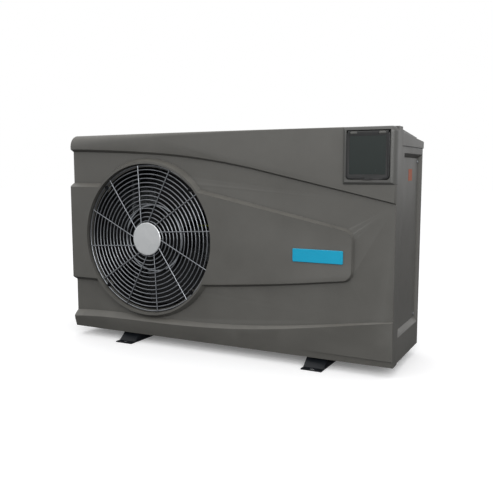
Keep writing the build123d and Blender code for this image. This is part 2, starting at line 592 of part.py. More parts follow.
def motor_bracket():
    """Two folded uprights and a cross plate that carry the motor."""
    front = MOTOR_FRONT + MOTOR_LENGTH
    foot = FOOT_HEIGHT + SHEET
    plate = block(FAN_X - MOTOR_R, FAN_X + MOTOR_R, front, front + SHEET, FAN_Z - MOTOR_R, FAN_Z + MOTOR_R)
    for side in (-1, 1):
        x = FAN_X + side * (MOTOR_R + FLANGE / 2)
        post = block(x - FLANGE / 2, x + FLANGE / 2, front, front + SHEET, foot, SIDE_TOP - FLANGE)
        edge = x + side * FLANGE / 2
        post += block(edge, edge - side * SHEET, front, front + FLANGE, foot, SIDE_TOP - FLANGE)
        post += block(x - FLANGE / 2, x + FLANGE / 2, front, front + FLANGE, foot, foot + SHEET)
        plate += post
    return plate


def motor_cable():
    """Sheathed cable from the motor to the grommet in the partition."""
    start = FAN_X + MOTOR_R + 10
    route = (
        (start, CABLE_DEPTH, FAN_Z),
        (start + 40, CABLE_DEPTH, FAN_Z),
        (start + 90, CABLE_DEPTH + 8, FAN_Z + 40),
        (start + 160, CABLE_DEPTH + 30, FAN_Z + 90),
        (SPLIT_X - 50, CABLE_DEPTH + 40, CABLE_EXIT_Z),
        (SPLIT_X - GROMMET_LENGTH, CABLE_DEPTH + 40, CABLE_EXIT_Z),
    )
    return tube_run(route, CABLE_R, CABLE_BEND)


def earth_wire():
    """Earth lead from the motor bracket to the bonding screw on the partition."""
    start = FAN_X + MOTOR_R + FLANGE
    front = MOTOR_FRONT + MOTOR_LENGTH + FLANGE / 2
    route = (
        (start, front, FAN_Z + 30),
        (start + 40, front, FAN_Z + 30),
        (start + 80, front + 10, FAN_Z + 70),
        (start + 140, front + 25, FAN_Z + 110),
        (SPLIT_X - 45, front + 30, FAN_Z + 80),
        (SPLIT_X, front + 30, FAN_Z + 80),
    )
    return tube_run(route, EARTH_R, EARTH_BEND)


def cable_grommet():
    """Rubber grommet where the motor cable meets the partition."""
    x = SPLIT_X - GROMMET_LENGTH
    collar = along_x(x, SPLIT_X, CABLE_DEPTH + 40, CABLE_EXIT_Z, CABLE_R + 5)
    return fillet(collar.faces().sort_by(Axis.X)[0].edges(), 2.0)


# ================================================================ controller
def controller_bezel():
    """Surround at the upper right corner: bevelled rim, deep floor and hinge knuckles."""
    outer = block(BEZEL_X, HALF, BEZEL_FRONT, BEZEL_BACK, BEZEL_Z, HEIGHT)
    front = outer.faces().sort_by(Axis.Y)[0]
    outer = chamfer(front.edges().filter_by(Axis.Z).sort_by(Axis.X)[0], BEZEL_BEVEL)
    front = outer.faces().sort_by(Axis.Y)[0]
    outer = chamfer(front.edges().filter_by(Axis.X).sort_by(Axis.Z)[0], BEZEL_BEVEL)
    outer = outer & corner_plan(0.0)
    top_right = outer.edges().filter_by(Axis.Y).sort_by(lambda e: e.center().X + e.center().Z)[-1]
    outer = fillet(top_right, BEZEL_ROUND)
    width, height = COVER_X1 - COVER_X0, COVER_Z1 - COVER_Z0
    pocket = Pos((COVER_X0 + COVER_X1) / 2, (COVER_Z0 + COVER_Z1 + COVER_TOP_GAP - COVER_GAP) / 2)
    pocket *= RectangleRounded(width + 2 * COVER_GAP, height + COVER_GAP + COVER_TOP_GAP, COVER_CORNER)
    outer -= extrude(front_plane(BEZEL_BACK - BEZEL_FLOOR) * pocket, amount=BEZEL_BACK - BEZEL_FRONT)
    swing_z = COVER_Z1 - 2 * BARREL_R  # above this the swinging cover needs its full width
    outer -= block(
        COVER_X0 - COVER_GAP, COVER_X1 + COVER_GAP, BEZEL_FRONT - 1, BEZEL_BACK - BEZEL_FLOOR,
        swing_z, COVER_Z1 + COVER_TOP_GAP,
    )
    axis_depth, axis_z = hinge_axis()
    for x0, x1 in knuckle_spans():
        lug = along_x(x0, x1, axis_depth, axis_z, KNUCKLE_R)
        root = BEZEL_BACK - BEZEL_FLOOR + 1
        lug += block(x0, x1, axis_depth, root, axis_z - KNUCKLE_R, axis_z + KNUCKLE_R)
        outer += lug - along_x(x0 - 1, x1 + 1, axis_depth, axis_z, PIN_R + RUNNING)
    return outer


def hinge_axis():
    """Depth and height of the cover's hinge."""
    return COVER_FRONT + BARREL_R, COVER_Z1 - BARREL_R


def knuckle_spans():
    """Left and right ends of the two hinge knuckles."""
    left = COVER_X0 + KNUCKLE_INSET
    right = COVER_X1 - KNUCKLE_INSET
    return (left, left + KNUCKLE_WIDTH), (right - KNUCKLE_WIDTH, right)


def flip_cover():
    """Hinged cover: shallow shell with a window, a barrel along its top and a finger lip."""
    width, height = COVER_X1 - COVER_X0, COVER_Z1 - COVER_Z0
    middle = Pos((COVER_X0 + COVER_X1) / 2, (COVER_Z0 + COVER_Z1) / 2)
    back = COVER_FRONT + COVER_THICK
    outline = middle * RectangleRounded(width, height, COVER_CORNER)
    cover = extrude(front_plane(back) * outline, amount=COVER_THICK)
    cover = fillet(cover.faces().sort_by(Axis.Y)[0].edges(), 1.5)
    inner_width, inner_height = width - 2 * COVER_WALL, height - 2 * COVER_WALL
    inside = middle * RectangleRounded(inner_width, inner_height, COVER_CORNER - COVER_WALL)
    cover -= extrude(front_plane(back) * inside, amount=COVER_THICK - COVER_WALL)
    axis_depth, axis_z = hinge_axis()
    top = block(COVER_X0 - 1, COVER_X1 + 1, COVER_FRONT - 1, back + 10, axis_z, COVER_Z1 + 1)
    barrel = along_x(COVER_X0 + 4, COVER_X1 - 4, axis_depth, axis_z, BARREL_R)
    cover = cover - top + barrel
    lip_z = COVER_Z0 + LIP_HEIGHT - LIP_R
    lip = along_y((COVER_X0 + COVER_X1) / 2, lip_z, COVER_FRONT - LIP_PROUD, COVER_FRONT + 1, LIP_R)
    cover += lip & block(COVER_X0, COVER_X1, COVER_FRONT - LIP_PROUD, COVER_FRONT + 1, COVER_Z0, COVER_Z1)
    cover -= window_block(0.0, COVER_FRONT - 1, COVER_FRONT + PANE_THICK + 0.2)
    cover -= window_block(-2.5, COVER_FRONT - 1, COVER_FRONT + 2 * COVER_WALL)
    for x0, x1 in knuckle_spans():
        clear = BARREL_R + KNUCKLE_GAP
        left, right = x0 - KNUCKLE_GAP, x1 + KNUCKLE_GAP
        notch = along_x(left, right, axis_depth, axis_z, clear)
        notch += block(left, right, axis_depth, back + 10, axis_z - clear, axis_z + clear)
        cover -= notch
    for x0, x1 in pin_spans():
        cover -= along_x(x0 - 0.5, x1 + 0.5, axis_depth, axis_z, PIN_R + RUNNING)
    return cover


def window_block(margin, d0, d1):
    """Window opening of the cover, grown by a margin."""
    left, right, bottom, top = COVER_BORDER
    x0, x1 = COVER_X0 + left - margin, COVER_X1 - right + margin
    z0, z1 = COVER_Z0 + bottom - margin, COVER_Z1 - top + margin
    return block(x0, x1, d0, d1, z0, z1)


def cover_pane():
    """Smoked pane, flush in the cover's rebate."""
    return window_block(-0.1, COVER_FRONT + 0.2, COVER_FRONT + 0.2 + PANE_THICK)


def pin_spans():
    """Ends of the hinge pins, which reach past their knuckles."""
    return [(x0 - PIN_OVERHANG, x1 + PIN_OVERHANG) for x0, x1 in knuckle_spans()]


def hinge_pins():
    """Steel pins through knuckles and barrel."""
    depth, z = hinge_axis()
    return Compound(children=[along_x(x0, x1, depth, z, PIN_R) for x0, x1 in pin_spans()])


def button_places():
    """Middle of each button."""
    middle = (COVER_X0 + COVER_X1) / 2
    first = middle - BUTTON_PITCH * (len(BUTTON_NAMES) - 1) / 2
    return {name: first + BUTTON_PITCH * i for i, name in enumerate(BUTTON_NAMES)}


def controller_body():
    """Control unit on the bezel's floor, with its display recess and button wells."""
    back = BEZEL_BACK - BEZEL_FLOOR
    x0, x1 = COVER_X0 + BODY_MARGIN, COVER_X1 - BODY_MARGIN
    body = block(x0, x1, BODY_FRONT, back, COVER_Z0 + BODY_MARGIN, BODY_TOP)
    body = fillet(body.edges().filter_by(Axis.Y), 4.0)
    body -= display_block(0.3, BODY_FRONT - 1, BODY_FRONT + 2)
    for x in button_places().values():
        body -= along_y(x, BUTTON_Z, BODY_FRONT - 1, back - 0.6, BUTTON_R + 0.3)
    return body


def display_block(margin, d0, d1):
    """Display outline, grown by a margin."""
    width, height = DISPLAY_SIZE
    x = (COVER_X0 + COVER_X1) / 2
    z0, z1 = DISPLAY_Z - height / 2 - margin, DISPLAY_Z + height / 2 + margin
    return block(x - width / 2 - margin, x + width / 2 + margin, d0, d1, z0, z1)


def display():
    """Display glass in its recess."""
    return display_block(0.0, BODY_FRONT + 0.4, BODY_FRONT + 2)


def button(x):
    """Push button with a softened edge."""
    front = BODY_FRONT - BUTTON_PROUD
    cap = along_y(x, BUTTON_Z, front, front + BUTTON_LENGTH, BUTTON_R)
    return fillet(cap.faces().sort_by(Axis.Y)[0].edges(), 0.6)


# ================================================================ lid, sides, rear and base
def lid_plug(inset, bottom):
    """Outer shape of the lid, shrunk by an inset: a sloping tray and a crown that narrows to the rear."""
    front, rear = PANEL_DEPTH + GAP + inset, CASE_DEPTH - inset
    x = HALF - inset
    low, high = LID_RIM_Z - inset, LID_FRONT_RIM - inset
    tray = prism_x(((front, bottom), (rear, bottom), (rear, low), (front, high)), -x, x)
    back = rear - LID_LEDGE
    top = ((front, bottom), (back, bottom), (back, LID_TOP_REAR - inset), (front, LID_TOP_FRONT - inset))
    plan = ((-x, front), (x, front), (x - LID_LEDGE, back), (LID_LEDGE - x, back))
    return tray + (prism_x(top, -x, x) & prism_z(plan, bottom, HEIGHT))


def top_cover():
    """Lid with a skirt, a rim and a raised sloping top."""
    return lid_plug(0.0, LID_SKIRT_Z) - lid_plug(LID_WALL, LID_SKIRT_Z - 1)


def side_plate(side):
    """Plain side panel; side is -1 for the left and 1 for the right."""
    outer = side * (HALF - LID_WALL)
    inner = outer - side * SIDE_WALL
    front = PANEL_DEPTH + GAP
    plate = block(outer, inner, front, SIDE_REAR, FOOT_HEIGHT, SIDE_TOP)
    notch_end = front + LID_WALL + GAP
    return plate - block(outer + side, inner - side, front - 1, notch_end, LID_SKIRT_Z - GAP, SIDE_TOP + 1)


def left_panel():
    """Left side panel with horizontal louvres for the coil's left leg."""
    panel = side_plate(-1)
    x = LID_WALL - HALF
    middle = (PANEL_DEPTH + SIDE_REAR) / 2 + 8
    slots = []
    hoods = []
    for i in range(LOUVRE_COUNT):
        z = LOUVRE_BOTTOM + LOUVRE_PITCH * i
        d0, d1 = middle - LOUVRE_LENGTH / 2, middle + LOUVRE_LENGTH / 2
        slots.append(block(x - 1, x + SIDE_WALL + 1, d0, d1, z, z + LOUVRE_SLOT))
        top = z + LOUVRE_SLOT
        points = ((x - 2.5, z + 1), (x + 0.5, top + 3), (x + 0.5, top), (x - 1.5, z + 1))
        hoods.append(prism_y(points, d0, d1))
    return (panel - slots) + hoods


def pocket_outline(x, points):
    """Pocket outline on the upright plane at X."""
    return make_face(Polyline(*[(x, fy(d), z) for d, z in points], close=True))


def right_panel():
    """Right side panel with a sloping-sided pocket and a wiring opening in its floor."""
    panel = side_plate(1)
    face_x = HALF - LID_WALL
    floor_x = face_x - POCKET_FLOOR
    pocket = loft([pocket_outline(face_x, POCKET_OUTER), pocket_outline(floor_x, POCKET_INNER)])
    low = (POCKET_OUTER[0][0] - SIDE_WALL / 2, POCKET_OUTER[0][1] - SIDE_WALL)
    high = (POCKET_OUTER[2][0] + SIDE_WALL, POCKET_OUTER[2][1] + SIDE_WALL)
    panel += block(floor_x - SIDE_WALL, face_x - SIDE_WALL / 2, low[0], high[0], low[1], high[1])
    panel -= pocket
    d0, z0 = POCKET_INNER[3][0] + FLANGE, POCKET_INNER[0][1] + HEIGHT / 3
    d1, z1 = POCKET_INNER[1][0] - FLANGE, POCKET_INNER[2][1] - FLANGE
    return panel - block(floor_x - SIDE_WALL - 1, floor_x + 1, d0, d1, z0, z1)


def service_cover():
    """Flat cover on the pocket's floor, with four screw holes."""
    x = HALF - LID_WALL - POCKET_FLOOR
    (d0, z0), (d1, _), (_, z1), (d3, _) = POCKET_INNER
    gap = COVER_INSET
    points = ((d0 + gap + 1, z0 + gap), (d1 - gap, z0 + gap), (d1 - gap, z1 - gap), (d3 + gap, z1 - gap))
    cover = prism_x(points, x, x + SERVICE_THICK)
    for depth, z in service_screw_places():
        cover -= along_x(x - 1, x + SERVICE_THICK + 1, depth, z, SCREW_R + HOLE_CLEAR)
    return cover


def service_screw_places():
    """Depth and height of the service cover's screws."""
    (d0, z0), (d1, _), (_, z1), (d3, _) = POCKET_INNER
    edge = 10.0
    return (d0 + edge, z0 + edge), (d1 - edge, z0 + edge), (d1 - edge, z1 - edge), (d3 + edge, z1 - edge)


def service_screws():
    """Pan-head screws of the service cover, as a list."""
    x = HALF - LID_WALL - POCKET_FLOOR + SERVICE_THICK
    screws = []
    for depth, z in service_screw_places():
        head = along_x(x, x + 2, depth, z, SCREW_R * 2.3)
        head = fillet(head.faces().sort_by(Axis.X)[-1].edges(), 0.8)
        screws.append(head + along_x(x - SERVICE_THICK + 0.1, x + 0.5, depth, z, SCREW_R))
    return screws


def label():
    """Small plain label on the service cover."""
    x = HALF - LID_WALL - POCKET_FLOOR + SERVICE_THICK
    return block(x, x + 0.4, LABEL_DEPTH, LABEL_DEPTH + LABEL_SIZE[0], LABEL_Z, LABEL_Z + LABEL_SIZE[1])


def rear_panel():
    """Sheet panel behind the compressor side, with holes for unions, glands and screws."""
    back = REAR_SHEET + SHEET
    right = HALF - LID_WALL - SIDE_WALL - GAP
    panel = block(SPLIT_X, right, REAR_SHEET, back, FOOT_HEIGHT, SIDE_TOP)
    low = FOOT_HEIGHT + PAN_RIM + GAP
    panel += block(right - SHEET, right, REAR_SHEET - REAR_RETURN, back, low, SIDE_TOP)
    for z in WATER_Z.values():
        panel -= along_y(VESSEL_X, z, REAR_SHEET - 1, back + 1, PORT_R + 1)
    for x, z in GLAND_XZ:
        panel -= along_y(x, z, REAR_SHEET - 1, back + 1, GLAND_R - 3 + HOLE_CLEAR)
    for x, z in rear_screw_places():
        panel -= along_y(x, z, REAR_SHEET - 1, back + 1, SCREW_R + HOLE_CLEAR)
    return panel


def rear_screw_places():
    """Where the rear panel and the coil guard are screwed on."""
    right = HALF - LID_WALL - SIDE_WALL - GAP - FLANGE / 2
    heights = (FOOT_HEIGHT + PAN_RIM / 2, HEIGHT / 2, LID_SKIRT_Z - FLANGE)
    return [(x, z) for x in (SPLIT_X + FLANGE / 2, right) for z in heights]


def guard_screw_places():
    """Screws along the coil guard's left and right edges."""
    left = SIDE_WALL + LID_WALL + GAP - HALF + FLANGE / 2
    heights = (FOOT_HEIGHT + PAN_RIM / 2, HEIGHT / 2, LID_SKIRT_Z - FLANGE)
    return [(x, z) for x in (left, SPLIT_X - GAP - FLANGE / 2) for z in heights]


def casing_screws():
    """Pan-head screws along the rear and on the service cover."""
    back = REAR_SHEET + SHEET
    screws = []
    for x, z in rear_screw_places() + guard_screw_places():
        head = along_y(x, z, back, back + 1.9, SCREW_R * 2.3)
        head = fillet(head.faces().sort_by(Axis.Y)[-1].edges(), 0.8)
        screws.append(head + along_y(x, z, REAR_SHEET, back + 0.5, SCREW_R))
    return Compound(children=screws + service_screws())


def coil_guard():
    """Grid that protects the coil at the rear."""
    left = SIDE_WALL + LID_WALL + GAP - HALF
    right = SPLIT_X - GAP
    low, high = FOOT_HEIGHT, SIDE_TOP
    pitch_x = (right - left - 2 * FLANGE) / GUARD_COLUMNS
    pitch_z = (high - low - 2 * FLANGE) / GUARD_ROWS
    sheet = Pos((left + right) / 2, (low + high) / 2) * Rectangle(right - left, high - low)
    middle = Pos((left + right) / 2, (low + high) / 2)
    grid = GridLocations(pitch_x, pitch_z, GUARD_COLUMNS, GUARD_ROWS)
    holes = [middle * place * Rectangle(pitch_x - GUARD_BAR, pitch_z - GUARD_BAR) for place in grid]
    guard = extrude(front_plane(REAR_SHEET + SHEET) * (sheet - holes), amount=SHEET)
    for x, z in guard_screw_places():
        guard -= along_y(x, z, REAR_SHEET - 1, REAR_SHEET + SHEET + 1, SCREW_R + HOLE_CLEAR)
    return guard


def base_pan():
    """Drain pan with an upturned rim, a rib under the coil and the drain hole."""
    x = HALF - LID_WALL - SIDE_WALL - GAP
    front, rear = PANEL_DEPTH + GAP, REAR_SHEET
    floor = FOOT_HEIGHT
    pan = block(-x, x, front, rear, floor, floor + PAN_RIM)
    pan -= block(SHEET - x, x - SHEET, front + SHEET, rear - SHEET, floor + SHEET, floor + PAN_RIM + 1)
    pan -= along_z(DRAIN_X, DRAIN_DEPTH, floor - 1, floor + SHEET + 1, DRAIN_R)
    rib_left, rib_right = COIL_X + COIL_THICK + 5, SPLIT_X - FLANGE
    rib_front, rib_rear = COIL_FRONT + 2, COIL_FRONT + COIL_THICK - 2
    pan += block(rib_left, rib_right, rib_front, rib_rear, floor + 1, COIL_BOTTOM)
    return pan


def drain_nozzle():
    """Drain spout under the pan."""
    top = FOOT_HEIGHT + SHEET
    flange = along_z(DRAIN_X, DRAIN_DEPTH, top, top + 2, DRAIN_R + 5)
    spout = along_z(DRAIN_X, DRAIN_DEPTH, top - 22, top + 1, DRAIN_R - HOLE_CLEAR)
    return flange + spout - along_z(DRAIN_X, DRAIN_DEPTH, 0, top + 3, DRAIN_R - 3)


def foot_rail(side):
    """Pressed foot: floor lips with slots, sloping toes and a deck under the casing."""
    x0, x1 = side * FOOT_X - FOOT_WIDTH / 2, side * FOOT_X + FOOT_WIDTH / 2
    tip, end = -FOOT_PROUD, CASE_DEPTH + FOOT_PROUD
    t = FOOT_PLATE
    outer = (
        (tip, 0), (tip + TOE_LENGTH, 0), (tip + TOE_LENGTH + TOE_RISE, FOOT_HEIGHT - t),
        (end - TOE_LENGTH - TOE_RISE, FOOT_HEIGHT - t), (end - TOE_LENGTH, 0), (end, 0),
        (end, t), (end - TOE_LENGTH + 1, t), (end - TOE_LENGTH - TOE_RISE + 1, FOOT_HEIGHT),
        (tip + TOE_LENGTH + TOE_RISE - 1, FOOT_HEIGHT), (tip + TOE_LENGTH - 1, t), (tip, t),
    )
    rail = prism_x(outer, x0, x1)
    web = (
        (tip + TOE_LENGTH, 0), (tip + TOE_LENGTH + TOE_RISE, FOOT_HEIGHT - t / 2),
        (end - TOE_LENGTH - TOE_RISE, FOOT_HEIGHT - t / 2), (end - TOE_LENGTH, 0),
    )
    for x in (x0, x1 - t):
        rail += prism_x(web, x, x + t)
    for depth in (tip + SLOT_IN, end - SLOT_IN):
        slot = Plane(origin=(side * FOOT_X, fy(depth), -1)) * SlotOverall(SLOT_LENGTH, 2 * SLOT_R)
        rail -= extrude(slot, amount=t + 2)
    return rail


# ================================================================ inside, fan side
def coil_fins():
    """Finned block of the air coil, bent round the left rear corner."""
    rear = COIL_FRONT + COIL_THICK
    right = COIL_RIGHT
    points = (
        (COIL_X, COIL_LEG_FRONT), (COIL_X + COIL_THICK, COIL_LEG_FRONT), (COIL_X + COIL_THICK, COIL_FRONT),
        (right, COIL_FRONT), (right, rear), (COIL_X, rear),
    )
    slab = prism_z(points, COIL_BOTTOM, COIL_TOP)
    upright = slab.edges().filter_by(Axis.Z)
    outside = upright.sort_by(lambda e: (e.center() - Vector(COIL_X, fy(rear), e.center().Z)).length)[0]
    inner = Vector(COIL_X + COIL_THICK, fy(COIL_FRONT), (COIL_BOTTOM + COIL_TOP) / 2)
    slab = fillet(outside, COIL_BEND)
    inside = slab.edges().filter_by(Axis.Z).sort_by(lambda e: (e.center() - inner).length)[0]
    return fillet(inside, COIL_BEND - COIL_THICK)


def coil_end_plates():
    """Tube sheets at the two ends of the coil."""
    rear = COIL_FRONT + COIL_THICK
    back = block(COIL_RIGHT, COIL_RIGHT + SHEET, COIL_FRONT - 3, rear + 2, COIL_BOTTOM, COIL_TOP)
    left, right = COIL_X - 2, COIL_X + COIL_THICK + 3
    side = block(left, right, COIL_LEG_FRONT - SHEET, COIL_LEG_FRONT, COIL_BOTTOM, COIL_TOP)
    return Compound(children=[back, side])


def coil_bends():
    """Return bends that join the coil's tubes beyond the front tube sheet."""
    x = COIL_X + COIL_THICK / 2
    bends = []
    for i in range(BEND_COUNT):
        z = COIL_BOTTOM + BEND_PITCH * (i + 0.65)
        ring = Pos(x, fy(COIL_LEG_FRONT - SHEET), z) * Rot(0, 90, 0) * Torus(BEND_R, BEND_TUBE)
        reach = 2 * BEND_R
        face = COIL_LEG_FRONT - SHEET
        bends.append(ring & block(x - reach, x + reach, face - reach, face, z - reach, z + reach))
    return bends


def partition_panel():
    """Upright sheet between the fan side and the compressor side."""
    foot, top = FOOT_HEIGHT + SHEET, SIDE_TOP - FLANGE / 2
    front, rear = PANEL_DEPTH + LID_WALL + 2 * GAP, REAR_SHEET - SHEET
    wall = block(SPLIT_X, SPLIT_X + SHEET, front, rear, foot, top)
    wall += block(SPLIT_X, SPLIT_X + FLANGE, front, rear, foot, foot + SHEET)
    wall -= along_x(SPLIT_X - 1, SPLIT_X + FLANGE + 1, HEADER_DEPTH, DISTRIBUTOR_Z, COPPER_R)
    for z in feeder_heights():
        wall -= along_x(SPLIT_X - 1, SPLIT_X + SHEET + 1, HEADER_DEPTH, z, FEEDER_R + 1)
    return wall


def feeder_heights():
    """Heights of the short tubes between the coil and its header."""
    low, high = COIL_BOTTOM + 50, COIL_TOP - 50
    return [low + (high - low) * i / (FEEDER_COUNT - 1) for i in range(FEEDER_COUNT)]


# ================================================================ compressor side
def compressor():
    """Hermetic compressor: domed can, base plate with three feet, suction and discharge stubs."""
    dome = COMP_DOME
    profile = [
        Line((0, COMP_BOTTOM), (COMP_R - 8, COMP_BOTTOM)),
        ThreePointArc((COMP_R - 8, COMP_BOTTOM), (COMP_R - 2, COMP_BOTTOM + 3), (COMP_R, COMP_BOTTOM + 10)),
        Line((COMP_R, COMP_BOTTOM + 10), (COMP_R, COMP_TOP - dome)),
        Bezier((COMP_R, COMP_TOP - dome), (COMP_R, COMP_TOP), (0, COMP_TOP)),
        Line((0, COMP_TOP), (0, COMP_BOTTOM)),
    ]
    here = Plane(origin=(COMP_X, fy(COMP_DEPTH), 0), x_dir=(1, 0, 0), z_dir=(0, -1, 0))
    can = revolve(here * make_face(Wire(profile)), Axis((COMP_X, fy(COMP_DEPTH), 0), (0, 0, 1)), 360)
    plate = Circle(COMP_R - 2)
    for x, y in comp_foot_offsets():
        plate += Pos(x, y) * Circle(GROMMET_R + 2)
    base = Plane(origin=(COMP_X, fy(COMP_DEPTH), COMP_BOTTOM - 3)) * make_hull(plate.edges())
    can += extrude(base, amount=4)
    for x, y in comp_foot_offsets():
        can -= Pos(COMP_X + x, fy(COMP_DEPTH) + y, COMP_BOTTOM) * Cylinder(COMP_BOLT_R + 1.5, 20)
    can += along_z(COMP_X - 15, COMP_DEPTH - 10, COMP_TOP - dome, COMP_TOP + STUB_LENGTH, STUB_R)
    stub_end = ACC_X - ACC_R - SUCTION_GAP
    can += along_x(COMP_X + COMP_R - 6, stub_end, COMP_DEPTH - 20, ACC_BOTTOM - 15, STUB_R)
    return can


def comp_foot_offsets():
    """Compressor feet, measured from the compressor's axis."""
    return [(COMP_FOOT_R * sin(radians(a)), COMP_FOOT_R * cos(radians(a))) for a in COMP_FEET]


def compressor_grommets():
    """Rubber grommets under the compressor's feet."""
    low, high = FOOT_HEIGHT + SHEET, COMP_BOTTOM - 3
    rings = []
    for x, y in comp_foot_offsets():
        ring = Pos(COMP_X + x, fy(COMP_DEPTH) + y, (low + high) / 2) * Cylinder(GROMMET_R, high - low)
        rings.append(ring - Pos(COMP_X + x, fy(COMP_DEPTH) + y, high) * Cylinder(COMP_BOLT_R + 1, 80))
    return Compound(children=rings)


def compressor_bolts():
    """Studs and nuts through the grommets."""
    low = FOOT_HEIGHT + SHEET
    bolts = []
    for x, y in comp_foot_offsets():
        plane = Plane(origin=(COMP_X + x, fy(COMP_DEPTH) + y, low))
        stud = extrude(plane * Circle(COMP_BOLT_R), amount=COMP_BOTTOM + 12 - low)
        nut = extrude(plane.offset(COMP_BOTTOM + 1 - low) * RegularPolygon(2.2 * COMP_BOLT_R, 6), amount=5)
        bolts.append(stud + nut)
    return Compound(children=bolts)


def accumulator():
    """Suction accumulator with its inlet on top and its outlet at the foot."""
    can = along_z(ACC_X, ACC_DEPTH, ACC_BOTTOM, ACC_TOP, ACC_R)
    can = fillet(can.edges(), 7.0)
    can += along_z(ACC_X, ACC_DEPTH, ACC_TOP - 2, ACC_TOP + STUB_LENGTH, STUB_R)
    can += along_z(ACC_X, ACC_DEPTH, ACC_BOTTOM - 24, ACC_BOTTOM + 2, STUB_R)
    return can + along_x(ACC_X - ACC_R - SUCTION_GAP, ACC_X, ACC_DEPTH, ACC_BOTTOM - 15, STUB_R)


def valve_ports():
    """X of the reversing valve's three lower ports: coil, suction and vessel."""
    return VALVE_X - VALVE_PITCH, VALVE_X, VALVE_X + VALVE_PITCH


def reversing_valve():
    """Four-way reversing valve with its pilot coil in front."""
    half = VALVE_LENGTH / 2
    body = along_x(VALVE_X - half, VALVE_X + half, VALVE_DEPTH, VALVE_Z, VALVE_R)
    body = fillet(body.edges(), 4.0)
    for x in valve_ports():
        body += along_z(x, VALVE_DEPTH, VALVE_Z - VALVE_R - 12, VALVE_Z, STUB_R)
    body += along_z(VALVE_X, VALVE_DEPTH, VALVE_Z, VALVE_Z + VALVE_R + 4, STUB_R)
    body += along_x(VALVE_X - 16, VALVE_X + 16, VALVE_DEPTH - VALVE_R - 8, VALVE_Z, 5.0)
    boss = VALVE_DEPTH - VALVE_R - 6
    body += block(VALVE_X - 3, VALVE_X + 3, boss, VALVE_DEPTH, VALVE_Z - 3, VALVE_Z + 3)
    return body


def valve_solenoid():
    """Solenoid coil on the end of the pilot valve."""
    x = VALVE_X + 16
    return fillet(block(x, x + 24, VALVE_DEPTH - VALVE_R - 24, VALVE_DEPTH - VALVE_R - 1,
                        VALVE_Z - 12, VALVE_Z + 12).edges(), 2.5)


def discharge_pipe():
    """Hot gas from the compressor to the top of the reversing valve."""
    x, depth = COMP_X - 15, COMP_DEPTH - 10
    top = VALVE_Z + VALVE_R + 4
    route = (
        (x, depth, COMP_TOP + STUB_LENGTH),
        (x, depth, top + PIPE_RISE),
        (VALVE_X, VALVE_DEPTH, top + PIPE_RISE),
        (VALVE_X, VALVE_DEPTH, top),
    )
    return tube_run(route, COPPER_R, PIPE_BEND)


def suction_pipe():
    """Cold gas from the reversing valve's middle port to the accumulator."""
    low = VALVE_Z - VALVE_R - 12
    route = (
        (ACC_X, ACC_DEPTH, ACC_TOP + STUB_LENGTH),
        (ACC_X, ACC_DEPTH, low - SUCTION_DROP),
        (VALVE_X, VALVE_DEPTH, low - SUCTION_DROP),
        (VALVE_X, VALVE_DEPTH, low),
    )
    return tube_run(route, COPPER_R, PIPE_BEND)


def vessel_gas_pipe():
    """Gas line from the reversing valve to the top of the heat exchanger."""
    x, low = valve_ports()[2], VALVE_Z - VALVE_R - 12
    level = low - GAS_DROP
    route = (
        (x, VALVE_DEPTH, low),
        (x, VALVE_DEPTH, level),
        (VESSEL_X - VESSEL_R - GAS_CLEAR, VALVE_DEPTH, level),
        (VESSEL_X - VESSEL_R - GAS_CLEAR, VALVE_DEPTH, PIPE_HIGH),
        (VESSEL_X - 15, VESSEL_DEPTH - 28, PIPE_HIGH),
        (VESSEL_X - 15, VESSEL_DEPTH - 28, VESSEL_TOP + STUB_LENGTH),
    )
    return tube_run(route, COPPER_R, PIPE_BEND)


def coil_gas_pipe():
    """Gas line from the reversing valve to the coil's header."""
    x, low = valve_ports()[0], VALVE_Z - VALVE_R - 12
    route = (
        (x, VALVE_DEPTH, low),
        (x, VALVE_DEPTH, COIL_PIPE_Z),
        (HEADER_X, VALVE_DEPTH + 15, COIL_PIPE_Z),
        (HEADER_X, HEADER_DEPTH - HEADER_R - 6, COIL_PIPE_Z),
    )
    return tube_run(route, COPPER_R, PIPE_BEND)


def coil_header():
    """Upright manifold at the coil's end, joined to it by short feeders."""
    header = along_z(HEADER_X, HEADER_DEPTH, COIL_BOTTOM + 30, COIL_TOP - 30, HEADER_R)
    header += along_y(HEADER_X, COIL_PIPE_Z, HEADER_DEPTH - HEADER_R - 6, HEADER_DEPTH, HEADER_R - 1)
    for z in feeder_heights():
        header += along_x(COIL_RIGHT + SHEET, HEADER_X, HEADER_DEPTH, z, FEEDER_R)
    return header


def refrigerant_pipes():
    """Every copper tube of the circuit, each its own solid."""
    runs = [discharge_pipe(), suction_pipe(), vessel_gas_pipe(), coil_gas_pipe()]
    runs += [liquid_pipe(), distributor_pipe(), coil_header()]
    return Compound(children=runs + coil_bends())


def expansion_valve():
    """Electronic expansion valve in the liquid line."""
    body = along_z(EXPANSION_X, EXPANSION_DEPTH, EXPANSION_BOTTOM, EXPANSION_TOP, COPPER_R + 4)
    middle = (EXPANSION_BOTTOM + EXPANSION_TOP) / 2
    motor = along_y(EXPANSION_X, middle, EXPANSION_DEPTH - 30, EXPANSION_DEPTH, EXPANSION_MOTOR_R)
    return body + fillet(motor.edges(), 2.0)


def liquid_pipe():
    """Liquid line from the heat exchanger to the expansion valve."""
    route = (
        (VESSEL_X - 5, VESSEL_DEPTH + 30, VESSEL_TOP + STUB_LENGTH),
        (VESSEL_X - 5, VESSEL_DEPTH + 30, PIPE_HIGH),
        (EXPANSION_X, EXPANSION_DEPTH, PIPE_HIGH),
        (EXPANSION_X, EXPANSION_DEPTH, EXPANSION_TOP),
    )
    return tube_run(route, COPPER_R, PIPE_BEND)


